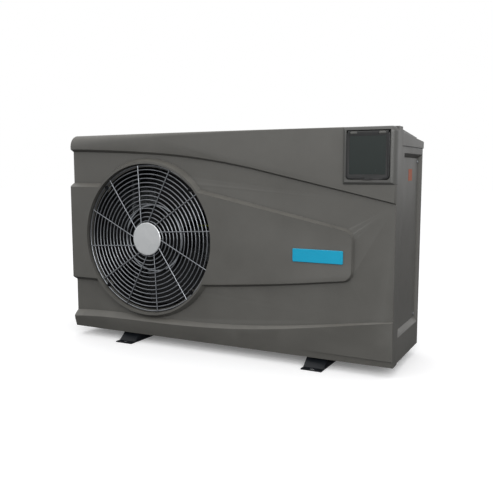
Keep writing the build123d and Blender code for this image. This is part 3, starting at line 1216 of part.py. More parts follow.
def distributor_pipe():
    """Liquid line from the expansion valve to the foot of the coil."""
    route = (
        (EXPANSION_X, EXPANSION_DEPTH, EXPANSION_BOTTOM),
        (EXPANSION_X, EXPANSION_DEPTH, DISTRIBUTOR_Z),
        (HEADER_X + 22, HEADER_DEPTH, DISTRIBUTOR_Z),
        (COIL_RIGHT + SHEET, HEADER_DEPTH, DISTRIBUTOR_Z),
    )
    return tube_run(route, COPPER_R - 1, PIPE_BEND)


# ================================================================ water side
def heat_exchanger():
    """Water vessel with a domed cap, two threaded water ports and two refrigerant stubs."""
    can = along_z(VESSEL_X, VESSEL_DEPTH, VESSEL_BOTTOM, VESSEL_TOP, VESSEL_R)
    can = fillet(can.edges(), 10.0)
    can += along_z(VESSEL_X, VESSEL_DEPTH, VESSEL_TOP - 45, VESSEL_TOP - 30, VESSEL_R + 6)
    can += along_z(VESSEL_X, VESSEL_DEPTH, FOOT_HEIGHT + SHEET, VESSEL_BOTTOM + 8, VESSEL_R - 12)
    for z in WATER_Z.values():
        can += along_y(VESSEL_X, z, VESSEL_DEPTH, PORT_END, PORT_R - 2)
        can += along_y(VESSEL_X, z, PORT_END - 12, PORT_END, PORT_R)
    low, high = VESSEL_BOTTOM + VESSEL_WALL, VESSEL_TOP - VESSEL_WALL
    hollow = along_z(VESSEL_X, VESSEL_DEPTH, low, high, VESSEL_R - VESSEL_WALL)
    hollow = fillet(hollow.edges(), 6.0)
    for z in WATER_Z.values():
        hollow += along_y(VESSEL_X, z, VESSEL_DEPTH, PORT_END + 1, PORT_BORE)
    can -= hollow
    for x, depth in ((VESSEL_X - 15, VESSEL_DEPTH - 28), (VESSEL_X - 5, VESSEL_DEPTH + 30)):
        can += along_z(x, depth, VESSEL_TOP - 2, VESSEL_TOP + STUB_LENGTH, STUB_R)
    return can


def titanium_coil():
    """Titanium helix that carries the refrigerant through the water."""
    low, high = VESSEL_BOTTOM + 25, VESSEL_TOP - 30
    turns_height = HELIX_PITCH * int((high - low) / HELIX_PITCH)
    path = Pos(VESSEL_X, fy(VESSEL_DEPTH), low) * Helix(HELIX_PITCH, turns_height, HELIX_R)
    start = Plane(origin=path @ 0, z_dir=path % 0)
    return sweep(start * Circle(COIL_TUBE_R), path=path, is_frenet=True)


def union_nut(z):
    """Union nut with eight gripping lobes round it."""
    end = PORT_END + TAIL_FLANGE + UNION_CLEAR + UNION_NUT_LIP
    front = end - UNION_NUT_LENGTH
    nut = along_y(VESSEL_X, z, front, end, UNION_NUT_R - 3)
    octagon = front_plane(end - 2) * Pos(VESSEL_X, z) * RegularPolygon(UNION_NUT_R, 8)
    ridge = extrude(octagon, amount=UNION_NUT_LENGTH - 4)
    nut += fillet(ridge.edges().filter_by(Axis.Y), 3.0)
    nut = nut - along_y(VESSEL_X, z, front - 1, end - UNION_NUT_LIP, PORT_R + UNION_CLEAR)
    return nut - along_y(VESSEL_X, z, end - UNION_NUT_LIP - 1, end + 1, TAIL_R + UNION_CLEAR)


def union_tail(z):
    """Union tail with a glue socket for the pool pipe."""
    end = CASE_DEPTH + UNION_PROUD
    tail = along_y(VESSEL_X, z, PORT_END, PORT_END + TAIL_FLANGE, PORT_R)
    tail += along_y(VESSEL_X, z, PORT_END, end, TAIL_R)
    tail -= along_y(VESSEL_X, z, PORT_END - 1, end, PORT_BORE - 2)
    return tail - along_y(VESSEL_X, z, end - SOCKET_LENGTH, end + 1, SOCKET_R)


def flow_sensor():
    """Sealed water flow sensor on top of the inlet port."""
    z = WATER_Z["inlet"] + PORT_R - 2
    depth = VESSEL_DEPTH + VESSEL_R + 22
    stem = along_z(VESSEL_X, depth, z - 1, z + 14, 8.0)
    stem -= along_y(VESSEL_X, WATER_Z["inlet"], depth - 20, depth + 20, PORT_R - 2)
    head = block(VESSEL_X - 14, VESSEL_X + 14, depth - 12, depth + 12, z + 12, z + 44)
    return stem + fillet(head.edges(), 3.0)


# ================================================================ electrical
def control_box():
    """Tray for the controls, hung on the partition."""
    (d0, d1), (z0, z1) = BOX_DEPTHS, BOX_Z
    x0 = SPLIT_X + SHEET
    tray = block(x0, BOX_RIGHT, d0, d1, z0, z1)
    tray -= block(x0 + SHEET, BOX_RIGHT - SHEET, d0 + SHEET, d1 - SHEET, z0 + SHEET, z1 + 1)
    return tray


def control_box_lid():
    """Folded lid of the control box."""
    (d0, d1), (_, z1) = BOX_DEPTHS, BOX_Z
    lid = block(SPLIT_X + SHEET, BOX_RIGHT + SHEET, d0 - SHEET, d1 + SHEET, z1, z1 + SHEET)
    return lid + block(BOX_RIGHT, BOX_RIGHT + SHEET, d0 - SHEET, d1 + SHEET, z1 - FLANGE, z1 + 1)


def control_board():
    """Printed circuit board with its relays, transformer and connectors."""
    d0, d1 = BOX_DEPTHS[0] + 14, BOX_DEPTHS[1] - 14
    x0, x1 = SPLIT_X + 22, BOX_RIGHT - 90
    board = block(x0, x1, d0, d1, BOARD_Z, BOARD_Z + 2)
    for i in range(5):
        board += block(x0 + 14 + 26 * i, x0 + 32 + 26 * i, d0 + 8, d0 + 24, BOARD_Z + 1, BOARD_Z + 18)
    board += block(x1 - 60, x1 - 15, d0 + 50, d0 + 90, BOARD_Z + 1, BOARD_Z + 36)
    board += block(x0 + 20, x0 + 90, d1 - 14, d1 - 4, BOARD_Z + 1, BOARD_Z + 12)
    for x in (x0 + 6, x1 - 6):
        for depth in (d0 + 6, d1 - 6):
            board += along_z(x, depth, BOX_Z[0] + SHEET, BOARD_Z + 0.5, 3.0)
    return board


def terminal_block():
    """Mains terminal block beside the wiring opening."""
    x0, x1 = BOX_RIGHT - 26, BOX_RIGHT - SHEET - 1
    floor = BOX_Z[0] + SHEET
    body = block(x0, x1, BOX_DEPTHS[0] + 30, BOX_DEPTHS[1] - 30, floor, floor + 20)
    for i in range(TERMINALS):
        depth = BOX_DEPTHS[0] + 40 + i * 14
        body -= along_z((x0 + x1) / 2, depth, floor + 12, floor + 21, 4.0)
    return body


def cable_glands():
    """Cable glands through the rear panel."""
    back = REAR_SHEET + SHEET
    glands = []
    for x, z in GLAND_XZ:
        gland = along_y(x, z, back - GLAND_LENGTH + 10, back + 8, GLAND_R - 3)
        gland += extrude(front_plane(back + 5) * Pos(x, z) * RegularPolygon(GLAND_R, 6), amount=5)
        gland += extrude(front_plane(REAR_SHEET) * Pos(x, z) * RegularPolygon(GLAND_R, 6), amount=5)
        glands.append(gland - along_y(x, z, back - GLAND_LENGTH, back + 9, GLAND_BORE))
    return Compound(children=glands)


# ================================================================ build
def build():
    """Every sub-part by name."""
    parts = {
        "front_panel": front_panel(),
        "top_cover": top_cover(),
        "left_panel": left_panel(),
        "right_panel": right_panel(),
        "service_cover": service_cover(),
        "label": label(),
        "rear_panel": rear_panel(),
        "coil_guard": coil_guard(),
        "casing_screws": casing_screws(),
        "base_pan": base_pan(),
        "drain_nozzle": drain_nozzle(),
        "foot_left": foot_rail(-1),
        "foot_right": foot_rail(1),
        "badge": badge(),
        "fan_grille": fan_grille(),
        "grille_disc": grille_disc(),
        "grille_screws": grille_screws(),
        "fan_shroud": fan_shroud(),
        "fan_rotor": fan_rotor(),
        "fan_nut": fan_nut(),
        "motor_shaft": motor_shaft(),
        "motor_rotor": motor_rotor(),
        "motor_stator": motor_stator(),
        "motor_bearings": motor_bearings(),
        "fan_motor": fan_motor(),
        "motor_bracket": motor_bracket(),
        "motor_cable": motor_cable(),
        "earth_wire": earth_wire(),
        "cable_grommet": cable_grommet(),
        "controller_bezel": controller_bezel(),
        "controller_body": controller_body(),
        "display": display(),
        "flip_cover": flip_cover(),
        "cover_pane": cover_pane(),
        "hinge_pins": hinge_pins(),
        "coil_fins": coil_fins(),
        "coil_end_plates": coil_end_plates(),
        "partition_panel": partition_panel(),
        "compressor": compressor(),
        "compressor_grommets": compressor_grommets(),
        "compressor_bolts": compressor_bolts(),
        "accumulator": accumulator(),
        "reversing_valve": reversing_valve(),
        "valve_solenoid": valve_solenoid(),
        "refrigerant_pipes": refrigerant_pipes(),
        "expansion_valve": expansion_valve(),
        "heat_exchanger": heat_exchanger(),
        "titanium_coil": titanium_coil(),
        "flow_sensor": flow_sensor(),
        "control_box": control_box(),
        "control_box_lid": control_box_lid(),
        "control_board": control_board(),
        "terminal_block": terminal_block(),
        "cable_glands": cable_glands(),
    }
    for name, x in button_places().items():
        parts[name] = button(x)
    parts["union_nuts"] = Compound(children=[union_nut(z) for z in WATER_Z.values()])
    parts["union_tails"] = Compound(children=[union_tail(z) for z in WATER_Z.values()])
    return parts


if __name__ == "__main__":
    os.makedirs(PARTS, exist_ok=True)
    for part_name, shape in build().items():
        save(part_name, shape)
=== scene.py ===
# %% [markdown]
# # A pool heat pump in its studio
# This lesson dresses the working model of a horizontal pool heat pump. The CAD part holds every size and
# everything that turns or slides. Here each piece gets its final surface: grained ABS mouldings, zinc wire,
# black powder coat, smoked acrylic and a stack of thin aluminium fins.

# %% Load the frame
import json
import math

import bmesh
import bpy
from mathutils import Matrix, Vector

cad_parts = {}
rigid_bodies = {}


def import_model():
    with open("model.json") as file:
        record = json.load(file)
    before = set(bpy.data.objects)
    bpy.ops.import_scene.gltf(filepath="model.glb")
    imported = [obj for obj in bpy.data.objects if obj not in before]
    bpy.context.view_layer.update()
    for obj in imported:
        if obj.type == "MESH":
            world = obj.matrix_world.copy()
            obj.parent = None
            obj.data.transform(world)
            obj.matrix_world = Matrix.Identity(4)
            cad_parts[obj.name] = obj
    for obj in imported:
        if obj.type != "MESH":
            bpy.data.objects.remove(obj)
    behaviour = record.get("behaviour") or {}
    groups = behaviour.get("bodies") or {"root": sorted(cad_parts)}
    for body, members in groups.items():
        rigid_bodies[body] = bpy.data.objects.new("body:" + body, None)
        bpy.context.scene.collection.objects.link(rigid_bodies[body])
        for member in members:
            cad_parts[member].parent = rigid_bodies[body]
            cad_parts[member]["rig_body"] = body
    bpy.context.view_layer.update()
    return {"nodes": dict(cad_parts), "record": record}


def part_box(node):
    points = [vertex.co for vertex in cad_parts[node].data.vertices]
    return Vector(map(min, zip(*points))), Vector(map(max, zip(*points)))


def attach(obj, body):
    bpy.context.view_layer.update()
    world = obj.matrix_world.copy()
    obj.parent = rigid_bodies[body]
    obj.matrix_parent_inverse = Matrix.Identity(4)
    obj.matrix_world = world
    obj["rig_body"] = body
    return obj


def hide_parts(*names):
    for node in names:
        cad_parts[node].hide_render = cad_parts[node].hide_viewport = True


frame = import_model()
MM = 0.001
print("pieces in the frame:", len(frame["nodes"]))

# %% [markdown]
# ## Small helpers
# Colours are written as sRGB hex values, the way a paint chart gives them, and one function turns them to
# the linear values that Blender works with. A second function adds a shader node, sets its inputs and
# links what is passed as a socket. With these two, a material reads like a recipe.

# %% Colour and node helpers
def linear(hex_code):
    """sRGB hex to linear red, green, blue and full alpha."""
    channels = [int(hex_code[i:i + 2], 16) / 255 for i in (1, 3, 5)]
    curve = [c / 12.92 if c <= 0.04045 else ((c + 0.055) / 1.055) ** 2.4 for c in channels]
    return (*curve, 1.0)


def node(tree, kind, settings=None, **inputs):
    """Add one node, set its properties, then set or link its inputs by name or index."""
    made = tree.nodes.new(kind)
    for key, value in (settings or {}).items():
        setattr(made, key, value)
    for key, value in inputs.items():
        numbered = key[0] == "i" and key[1:].isdigit()
        socket = made.inputs[int(key[1:]) if numbered else key.replace("_", " ")]
        if isinstance(value, bpy.types.NodeSocket):
            tree.links.new(value, socket)
        else:
            socket.default_value = value
    return made


def new_material(name):
    """Empty node material with its Principled shader, and that shader."""
    material = bpy.data.materials.new(name)
    material.use_nodes = True
    shader = material.node_tree.nodes["Principled BSDF"]
    return material, material.node_tree, shader


def blend(tree, amount, first, second):
    """Mix of two colours, each a hex value or a socket, by a socket that runs from 0 to 1."""
    mix = node(tree, "ShaderNodeMix", {"data_type": "RGBA"})
    tree.links.new(amount, mix.inputs[0])
    for slot, colour in ((6, first), (7, second)):
        if isinstance(colour, str):
            mix.inputs[slot].default_value = linear(colour)
        else:
            tree.links.new(colour, mix.inputs[slot])
    return mix.outputs[2]


def per_mm(size_mm):
    """Texture scale, in object metres, that gives one cell over a size in millimetres."""
    return 1.0 / (size_mm * MM)


print("white in linear light:", linear("#FFFFFF"))


# %% [markdown]
# ## Camera
# The product view looks a little down and from the right, with a normal lens, so that the front, the
# controller and the right side all show. The camera is placed at fixed distances from the casing's front
# face.

# %% Camera
LENS_MM, SENSOR_MM = 47.74, 36.0
CAMERA_RIGHT, CAMERA_AWAY, CAMERA_HEIGHT = 0.901, 1.547, 0.514
YAW, PITCH = math.radians(27.19), math.radians(6.65)


def add_camera():
    """Product camera to the right of the front."""
    data = bpy.data.cameras.new("studio_camera")
    data.lens = LENS_MM
    data.sensor_width = SENSOR_MM
    camera = bpy.data.objects.new("studio_camera", data)
    bpy.context.scene.collection.objects.link(camera)
    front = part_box("front_panel")[0].y
    camera.location = (CAMERA_RIGHT, front - CAMERA_AWAY, CAMERA_HEIGHT)
    flat = math.cos(PITCH)
    aim = Vector((-math.sin(YAW) * flat, math.cos(YAW) * flat, -math.sin(PITCH)))
    camera.rotation_euler = aim.to_track_quat("-Z", "Y").to_euler()
    bpy.context.scene.camera = camera
    return camera


print("camera at", [round(v, 3) for v in add_camera().location])

# %% [markdown]
# ## Floor and light
# A catalogue picture uses a pale floor and large soft boxes. A real photographer hangs black cloth low
# down, out of the frame, so that a dark product keeps its shape. The same is done here with a light-path
# switch: the camera sees white air and a white floor, while the product receives less light from below.

# %% Floor and light
WHITE = "#FFFFFF"
FLOOR_BOUNCE = "#5C5C5E"
AIR_LIGHT = "#F3F3F4"
FLOOR_LIFT = 0.14


def seen_directly(tree):
    """1 where a camera ray arrives, 0 for light that travels on to the product."""
    return node(tree, "ShaderNodeLightPath").outputs["Is Camera Ray"]


def add_floor(size=14.0):
    """Pale studio floor at the height of the feet."""
    mesh = bpy.data.meshes.new("studio_floor")
    built = bmesh.new()
    bmesh.ops.create_grid(built, x_segments=1, y_segments=1, size=size)
    built.to_mesh(mesh)
    built.free()
    floor = bpy.data.objects.new("studio_floor", mesh)
    floor.location.z = -0.0002
    bpy.context.scene.collection.objects.link(floor)
    material, tree, shader = new_material("studio_floor_paint")
    seen = seen_directly(tree)
    tone = blend(tree, seen, FLOOR_BOUNCE, WHITE)
    tree.links.new(tone, shader.inputs["Base Color"])
    lift = node(tree, "ShaderNodeMath", {"operation": "MULTIPLY"}, i0=seen, i1=FLOOR_LIFT)
    tree.links.new(lift.outputs[0], shader.inputs["Emission Strength"])
    shader.inputs["Emission Color"].default_value = linear(WHITE)
    shader.inputs["Roughness"].default_value = 0.95
    shader.inputs["Specular IOR Level"].default_value = 0.0
    mesh.materials.append(material)


def add_soft_box(name, place, target, size, watts):
    """Rectangular area light that looks at a target."""
    data = bpy.data.lights.new(name, "AREA")
    data.shape = "RECTANGLE"
    data.size, data.size_y = size
    data.energy = watts
    lamp = bpy.data.objects.new(name, data)
    lamp.location = place
    aim = Vector(target) - Vector(place)
    lamp.rotation_euler = aim.to_track_quat("-Z", "Y").to_euler()
    bpy.context.scene.collection.objects.link(lamp)


def add_world():
    """Air that looks white and lights the product a little less."""
    world = bpy.data.worlds.new("studio_air")
    bpy.context.scene.world = world
    world.use_nodes = True
    tree = world.node_tree
    seen = seen_directly(tree)
    tone = blend(tree, seen, AIR_LIGHT, WHITE)
    tree.links.new(tone, tree.nodes["Background"].inputs["Color"])


add_floor()
add_world()
add_soft_box("box_above", (-0.3, -0.6, 2.8), (-0.1, 0, 0.4), (2.4, 1.4), 5)
add_soft_box("box_front", (1.1, -3.0, 1.5), (0, 0, 0.3), (1.2, 1.2), 38)
add_soft_box("box_front_right", (2.4, -2.2, 1.3), (0.1, 0, 0.35), (1.4, 1.6), 17)
bpy.context.scene.view_settings.view_transform = "Standard"
bpy.context.scene.view_settings.look = "None"

# %% [markdown]
# ## Moulded ABS
# The casing is injection moulded ABS with a fine spark-eroded grain, which breaks up reflections. Three
# layers make it: a slow mottling of colour, fine grain in the bump, and roughness that varies a little
# where hands and rain have polished it. Outdoor dust settles on faces that look up. Grooves between two
# faces get painted shade, a darker colour where shade falls, which is what draws the long lines of the
# relief.

# %% Material: moulded ABS
def painted_crease_shade(tree, colour, reach_mm=14.0, depth=0.55):
    """Painted shade: colour darkened where two faces meet in a groove, where shade falls."""
    crease = node(tree, "ShaderNodeAmbientOcclusion", {"samples": 8}, Distance=reach_mm * MM)
    amount = node(tree, "ShaderNodeMapRange", Value=crease.outputs["AO"], From_Min=0.3, From_Max=0.95,
                  To_Min=depth, To_Max=0.0)
    return blend(tree, amount.outputs[0], colour, "#151514")


def settled_dust(tree, place, colour, dust):
    """Colour with patches of pale dust on the faces that look up."""
    geometry = node(tree, "ShaderNodeNewGeometry")
    up = node(tree, "ShaderNodeSeparateXYZ", Vector=geometry.outputs["Normal"])
    patch = node(tree, "ShaderNodeTexNoise", Vector=place, Scale=per_mm(35), Detail=5.0)
    facing = node(tree, "ShaderNodeMapRange", Value=up.outputs["Z"],
                  From_Min=0.3, From_Max=1.0, To_Max=dust)
    amount = node(tree, "ShaderNodeMath", {"operation": "MULTIPLY"},
                  i0=facing.outputs[0], i1=patch.outputs["Fac"])
    return blend(tree, amount.outputs[0], colour, "#A39E93")


def moulded_abs(name, base, dark, roughness=0.5, grain_mm=1.1, dust=0.0, shine=0.5):
    """Grained moulding with mottled colour and varying gloss."""
    material, tree, shader = new_material(name)
    place = node(tree, "ShaderNodeTexCoord").outputs["Object"]
    mottle = node(tree, "ShaderNodeTexNoise", Vector=place, Scale=per_mm(160), Detail=4.0, Roughness=0.6)
    spread = node(tree, "ShaderNodeMapRange", Value=mottle.outputs["Fac"], From_Min=0.35, From_Max=0.6)
    colour = blend(tree, spread.outputs["Result"], dark, base)
    # With dust set, the colour also gets pale dust patches and painted crease shade: a darker colour in
    # grooves, where shade falls.
    if dust:
        colour = painted_crease_shade(tree, settled_dust(tree, place, colour, dust))
    tree.links.new(colour, shader.inputs["Base Color"])
    wear = node(tree, "ShaderNodeTexNoise", Vector=place, Scale=per_mm(60), Detail=3.0)
    gloss = node(tree, "ShaderNodeMapRange", Value=wear.outputs["Fac"],
                 To_Min=roughness - 0.07, To_Max=roughness + 0.07)
    tree.links.new(gloss.outputs["Result"], shader.inputs["Roughness"])
    grain = node(tree, "ShaderNodeTexNoise", Vector=place, Scale=per_mm(grain_mm), Detail=2.0)
    bump = node(tree, "ShaderNodeBump", Height=grain.outputs["Fac"], Strength=0.25, Distance=0.1 * MM)
    tree.links.new(bump.outputs["Normal"], shader.inputs["Normal"])
    shader.inputs["Specular IOR Level"].default_value = shine
    shader.inputs["IOR"].default_value = 1.52
    return material


CASING = moulded_abs("casing_abs", "#585753", "#53524E", roughness=0.42, dust=0.25)
BEZEL = moulded_abs("bezel_abs", "#50504D", "#4B4B49", roughness=0.38)
BLACK_ABS = moulded_abs("black_abs", "#0B0C0C", "#080909", roughness=0.35)
FAN_PLASTIC = moulded_abs("fan_polypropylene", "#050608", "#030405", roughness=0.72, grain_mm=2.0, shine=0.3)
RUBBER = moulded_abs("nitrile_rubber", "#171717", "#121212", roughness=0.8)
PVC = moulded_abs("grey_pvc", "#4A4D50", "#434649", roughness=0.35)
BOARD = moulded_abs("solder_mask", "#0F4A2C", "#0C3F26", roughness=0.3)
EARTH = moulded_abs("earth_sheath", "#A9B52B", "#98A425", roughness=0.45)
print("mouldings:", [m.name for m in (CASING, BEZEL, BLACK_ABS, FAN_PLASTIC, RUBBER, PVC, BOARD, EARTH)])

# %% [markdown]
# ## Painted highlight on the fan's rim
# The hub of the fan is a drum, and its front rim gets a painted highlight: a lighter band of colour where
# the rim's edge catches the light. The band is found from the fan's own axis, so it stays on the rim while
# the fan turns: distance from the axis picks the drum's wall, and the depth fades the band out behind the
# rim.

# %% Material: painted rim highlight
def paint_rim_highlight(material, centre, radius_mm, front, tone, band_mm=5.0):
    """Painted highlight: lighter band on the front rim of a turning piece, where its edge catches light,
    found from its own axis.
    """
    tree = material.node_tree
    shader = tree.nodes["Principled BSDF"]
    plain = shader.inputs["Base Color"].links[0].from_socket
    place = node(tree, "ShaderNodeTexCoord").outputs["Object"]
    arm = node(tree, "ShaderNodeVectorMath", {"operation": "SUBTRACT"}, i0=place, i1=centre)
    flat = node(tree, "ShaderNodeVectorMath", {"operation": "MULTIPLY"}, i0=arm.outputs[0], i1=(1, 0, 1))
    reach = node(tree, "ShaderNodeVectorMath", {"operation": "LENGTH"}, i0=flat.outputs[0])
    ring = node(tree, "ShaderNodeMath", {"operation": "COMPARE"}, i0=reach.outputs["Value"],
                i1=radius_mm * MM, i2=band_mm * MM)
    depth = node(tree, "ShaderNodeSeparateXYZ", Vector=place)
    near = node(tree, "ShaderNodeMapRange", Value=depth.outputs["Y"],
                From_Min=front, From_Max=front + band_mm * MM, To_Min=1.0, To_Max=0.0)
    amount = node(tree, "ShaderNodeMath", {"operation": "MULTIPLY"}, i0=ring.outputs[0], i1=near.outputs[0])
    tree.links.new(blend(tree, amount.outputs[0], plain, tone), shader.inputs["Base Color"])


nut_low, nut_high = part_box("fan_nut")
HUB_RADIUS_MM, HUB_SETBACK_MM = 99.0, 42.0
hub_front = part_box("front_panel")[0].y + HUB_SETBACK_MM * MM
# Painted highlight: a lighter band of colour on the hub's front rim.
paint_rim_highlight(FAN_PLASTIC, (nut_low + nut_high) / 2, HUB_RADIUS_MM, hub_front, "#8E9296")
print("hub rim at y", round(hub_front, 4))

# %% [markdown]
# ## Metals
# Drawn, rolled and plated metals share one recipe. Fine lines along the drawing direction change the
# roughness, and a slow noise stands for the spangle or stain. The metal keeps Blender's default IOR.

# %% Material: metals
LINE_MM, DRAWN_ALONG_Z = 6.4, (1.0, 1.0, 12.0)


def worked_metal(name, base, dark, roughness, spangle_mm=25.0):
    """Metal with drawing lines and a slow change of tone."""
    material, tree, shader = new_material(name)
    place = node(tree, "ShaderNodeTexCoord").outputs["Object"]
    turned = node(tree, "ShaderNodeMapping", Vector=place, Scale=DRAWN_ALONG_Z)
    lines = node(tree, "ShaderNodeTexNoise", Vector=turned.outputs[0], Scale=per_mm(LINE_MM), Detail=3.0)
    spangle = node(tree, "ShaderNodeTexVoronoi", Vector=place, Scale=per_mm(spangle_mm))
    tree.links.new(blend(tree, spangle.outputs["Color"], dark, base), shader.inputs["Base Color"])
    gloss = node(tree, "ShaderNodeMapRange", Value=lines.outputs["Fac"],
                 To_Min=roughness - 0.08, To_Max=roughness + 0.1)
    tree.links.new(gloss.outputs["Result"], shader.inputs["Roughness"])
    bump = node(tree, "ShaderNodeBump", Height=lines.outputs["Fac"], Strength=0.15, Distance=0.05 * MM)
    tree.links.new(bump.outputs["Normal"], shader.inputs["Normal"])
    shader.inputs["Metallic"].default_value = 1.0
    return material


ZINC = worked_metal("zinc_plate", "#A2A5A9", "#909397", 0.36)
ALUMINIUM = worked_metal("rolled_aluminium", "#F6F8F8", "#EDF0F0", 0.45)
GALVANISED = worked_metal("galvanised_sheet", "#A9ADB1", "#8F9498", 0.42, spangle_mm=14.0)
BLACKENED = worked_metal("blackened_screw", "#2B2C2E", "#222325", 0.45)
STEEL = worked_metal("ground_steel", "#9FA2A5", "#8C8F93", 0.3)
COPPER = worked_metal("drawn_copper", "#C98A68", "#A9694A", 0.3)
BRASS = worked_metal("machined_brass", "#C9A35C", "#B08B47", 0.32)
TITANIUM = worked_metal("titanium_tube", "#9C9890", "#8B877F", 0.35)
print("metals:", [m.name for m in (ZINC, ALUMINIUM, GALVANISED, BLACKENED, STEEL, COPPER, BRASS, TITANIUM)])

# %% [markdown]
# ## Fins of the air coil
# The coil is a stack of thin aluminium fins pressed over hairpin tubes. From outside only their edges show:
# a bright lip every two millimetres, with painted shade between: a dark colour for the shadow in the gap
# behind each lip. The fins stack along X at the rear and along Y on the left leg, so the sum of both
# coordinates counts fins on either leg.

# %% Material: fin stack
def fin_stack(name, lip, gap_shade, pitch_mm=2.0):
    """Fins seen on edge, as bright lips and painted shade in the gaps, at a real pitch."""
    material, tree, shader = new_material(name)
    place = node(tree, "ShaderNodeTexCoord").outputs["Object"]
    axes = node(tree, "ShaderNodeSeparateXYZ", Vector=place)
    along = node(tree, "ShaderNodeMath", {"operation": "ADD"}, i0=axes.outputs["X"], i1=axes.outputs["Y"])
    turns = node(tree, "ShaderNodeMath", {"operation": "MULTIPLY"}, i0=along.outputs[0],
                 i1=math.tau * per_mm(pitch_mm))
    wave = node(tree, "ShaderNodeMath", {"operation": "SINE"}, i0=turns.outputs[0])
    edge = node(tree, "ShaderNodeMapRange", Value=wave.outputs[0], From_Min=-0.2, From_Max=0.7)
    tree.links.new(blend(tree, edge.outputs[0], gap_shade, lip), shader.inputs["Base Color"])
    film = node(tree, "ShaderNodeTexNoise", Vector=place, Scale=per_mm(70), Detail=3.0)
    gloss = node(tree, "ShaderNodeMapRange", Value=film.outputs["Fac"], To_Min=0.35, To_Max=0.6)
    tree.links.new(gloss.outputs["Result"], shader.inputs["Roughness"])
    bump = node(tree, "ShaderNodeBump", Height=edge.outputs[0], Strength=0.5, Distance=0.3 * MM)
    tree.links.new(bump.outputs["Normal"], shader.inputs["Normal"])
    shader.inputs["Metallic"].default_value = 1.0
    return material


# The second colour is painted shade, standing for the shadow in the gaps between fins.
FINS = fin_stack("aluminium_fins", "#A9ADAF", "#1C1E20")
print("fins:", FINS.name)

# %% [markdown]
# ## Powder coat
# The feet, base pan and rear sheet are steel with a baked powder coat. The powder flows into a faint
# orange peel a millimetre or two across, which shows as soft ripples in the highlights.

# %% Material: powder coat
def powder_coat(name, base, dark, roughness=0.45, peel_mm=1.8):
    """Baked powder on steel, with orange peel and rubbed patches."""
    material, tree, shader = new_material(name)
    place = node(tree, "ShaderNodeTexCoord").outputs["Object"]
    rubbed = node(tree, "ShaderNodeTexNoise", Vector=place, Scale=per_mm(45), Detail=5.0, Roughness=0.65)
    tree.links.new(blend(tree, rubbed.outputs["Fac"], dark, base), shader.inputs["Base Color"])
    gloss = node(tree, "ShaderNodeMapRange", Value=rubbed.outputs["Fac"],
                 To_Min=roughness - 0.1, To_Max=roughness + 0.12)
    tree.links.new(gloss.outputs["Result"], shader.inputs["Roughness"])
    peel = node(tree, "ShaderNodeTexNoise", Vector=place, Scale=per_mm(peel_mm), Detail=1.0)
    bump = node(tree, "ShaderNodeBump", Height=peel.outputs["Fac"], Strength=0.3, Distance=0.12 * MM)
    tree.links.new(bump.outputs["Normal"], shader.inputs["Normal"])
    shader.inputs["IOR"].default_value = 1.5
    return material


POWDER = powder_coat("black_powder_coat", "#12161B", "#0C1014", roughness=0.42)
REAR_PAINT = powder_coat("grey_powder_coat", "#5A5A56", "#52524F", roughness=0.5)
MOTOR_PAINT = powder_coat("motor_paint", "#26272A", "#1D1E20", roughness=0.38)
COMPRESSOR_PAINT = powder_coat("compressor_paint", "#141414", "#0D0D0D", roughness=0.28)
print("paints:", [m.name for m in (POWDER, REAR_PAINT, MOTOR_PAINT, COMPRESSOR_PAINT)])

# %% [markdown]
# ## Smoked acrylic, badge and label
# The cover's pane is smoked acrylic: dark, glossy, with a faint green cast. It is nearly opaque, so a
# dark glossy dielectric gives its look without the cost of refraction. The badge is printed enamel under a
# clear layer, and the label is a matt film.

# %% Material: glossy plastics
def polished(name, base, dark, roughness=0.12, coat=0.4):
    """Polished plastic with a thin clear layer and faint smears."""
    material, tree, shader = new_material(name)
    place = node(tree, "ShaderNodeTexCoord").outputs["Object"]
    cloud = node(tree, "ShaderNodeTexNoise", Vector=place, Scale=per_mm(60), Detail=2.0)
    tree.links.new(blend(tree, cloud.outputs["Fac"], dark, base), shader.inputs["Base Color"])
    smear = node(tree, "ShaderNodeTexNoise", Vector=place, Scale=per_mm(18), Detail=4.0)
    gloss = node(tree, "ShaderNodeMapRange", Value=smear.outputs["Fac"],
                 To_Min=roughness, To_Max=roughness + 0.1)
    tree.links.new(gloss.outputs["Result"], shader.inputs["Roughness"])
    shader.inputs["Coat Weight"].default_value = coat
    shader.inputs["Coat Roughness"].default_value = 0.05
    shader.inputs["IOR"].default_value = 1.49
    return material


SMOKED = polished("smoked_acrylic", "#1D2623", "#18201E", roughness=0.2, coat=0.0)
DISPLAY = polished("display_glass", "#10181A", "#0B1113", roughness=0.08)
BADGE = polished("badge_enamel", "#14A0C4", "#1097BA", roughness=0.25, coat=0.2)
LABEL = polished("label_film", "#A8532C", "#934A2E", roughness=0.5, coat=0.0)
print("glossy plastics:", [m.name for m in (SMOKED, DISPLAY, BADGE, LABEL)])

# %% [markdown]
# ## Dressing the CAD pieces
# The CAD solids arrive as loose triangles with knife-sharp edges. A real moulding has a small radius on
# every edge, and it is this radius that catches the light. So each piece listed in RADIUS is copied, its
# triangles are welded, flat areas are joined to single faces and, where its radius is above zero, the
# sharp edges get a rounded bevel.

# %% Dressing helper
WELD_MM, FLAT_ANGLE, SHARP_ANGLE = 0.004, math.radians(0.6), math.radians(28.0)


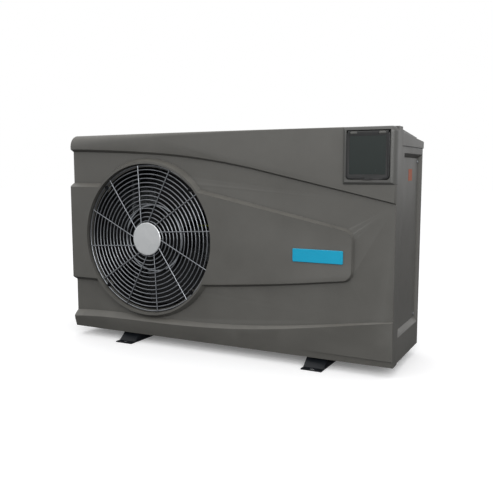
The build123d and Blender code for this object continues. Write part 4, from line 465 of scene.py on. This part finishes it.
def dressed(name, material, radius_mm=0.0):
    """Welded, rounded and smoothly shaded copy of a CAD node, which it replaces."""
    source = frame["nodes"][name]
    mesh = source.data.copy()
    mesh.name = name + "_dressed"
    work = bmesh.new()
    work.from_mesh(mesh)
    bmesh.ops.remove_doubles(work, verts=work.verts, dist=WELD_MM * MM)
    bmesh.ops.dissolve_limit(work, angle_limit=FLAT_ANGLE, verts=work.verts, edges=work.edges)
    work.to_mesh(mesh)
    work.free()
    mesh.materials.clear()
    mesh.materials.append(material)
    mesh.shade_smooth()
    mesh.set_sharp_from_angle(angle=SHARP_ANGLE)
    piece = bpy.data.objects.new(name + "_dressed", mesh)
    bpy.context.scene.collection.objects.link(piece)
    if radius_mm:
        bevel = piece.modifiers.new("edge_radius", "BEVEL")
        bevel.width = radius_mm * MM
        bevel.segments = 2
        bevel.limit_method = "ANGLE"
        bevel.angle_limit = SHARP_ANGLE
        bevel.harden_normals = True
        bevel.use_clamp_overlap = True
    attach(piece, source["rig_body"])
    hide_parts(name)
    return piece


def finish_cad(name, material):
    """Give a CAD node its material, without changing its mesh."""
    piece = frame["nodes"][name]
    piece.data.materials.clear()
    piece.data.materials.append(material)


slot_of = {row["node"]: row["material_slot"] for row in frame["record"]["subparts"]}

# %% [markdown]
# ## Who gets which finish
# The casing is one colour all round. Inside, the sheet parts are galvanised, the tubes copper and the
# compressor gloss black.

# %% Finishes
FINISH = {
    "casing_abs": CASING, "bezel_abs": BEZEL, "painted_steel": POWDER, "black_abs": BLACK_ABS,
    "fan_plastic": FAN_PLASTIC, "smoked_pane": SMOKED, "wire_zinc": ZINC, "disc_aluminium": ALUMINIUM,
    "badge_plastic": BADGE, "label_film": LABEL, "aluminium_fin": FINS,
    "galvanised_steel": GALVANISED, "motor_steel": MOTOR_PAINT, "compressor_paint": COMPRESSOR_PAINT,
    "copper": COPPER, "valve_brass": BRASS, "titanium": TITANIUM, "rubber_black": RUBBER,
    "earth_pvc": EARTH, "board_laminate": BOARD,
}
SPECIAL = {
    "rear_panel": REAR_PAINT, "display": DISPLAY, "union_tails": PVC, "union_nuts": BLACK_ABS,
    "heat_exchanger": PVC, "motor_shaft": STEEL, "motor_bearings": STEEL, "fan_nut": STEEL,
    "grille_screws": BLACKENED,
}
RADIUS = {
    "front_panel": 2.4, "top_cover": 1.5, "controller_bezel": 1.2, "right_panel": 1.2, "foot_left": 0.5,
    "foot_right": 0.5, "badge": 0.0, "service_cover": 0.5, "flip_cover": 0.0, "union_tails": 0.8,
    "union_nuts": 0.8, "fan_shroud": 0.0,
}
for name in sorted(frame["nodes"]):
    material = SPECIAL.get(name, FINISH[slot_of[name]])
    finish_cad(name, material)
    if name in RADIUS:
        made = dressed(name, material, RADIUS[name])
        print(name, "dressed:", len(made.data.polygons), "faces")
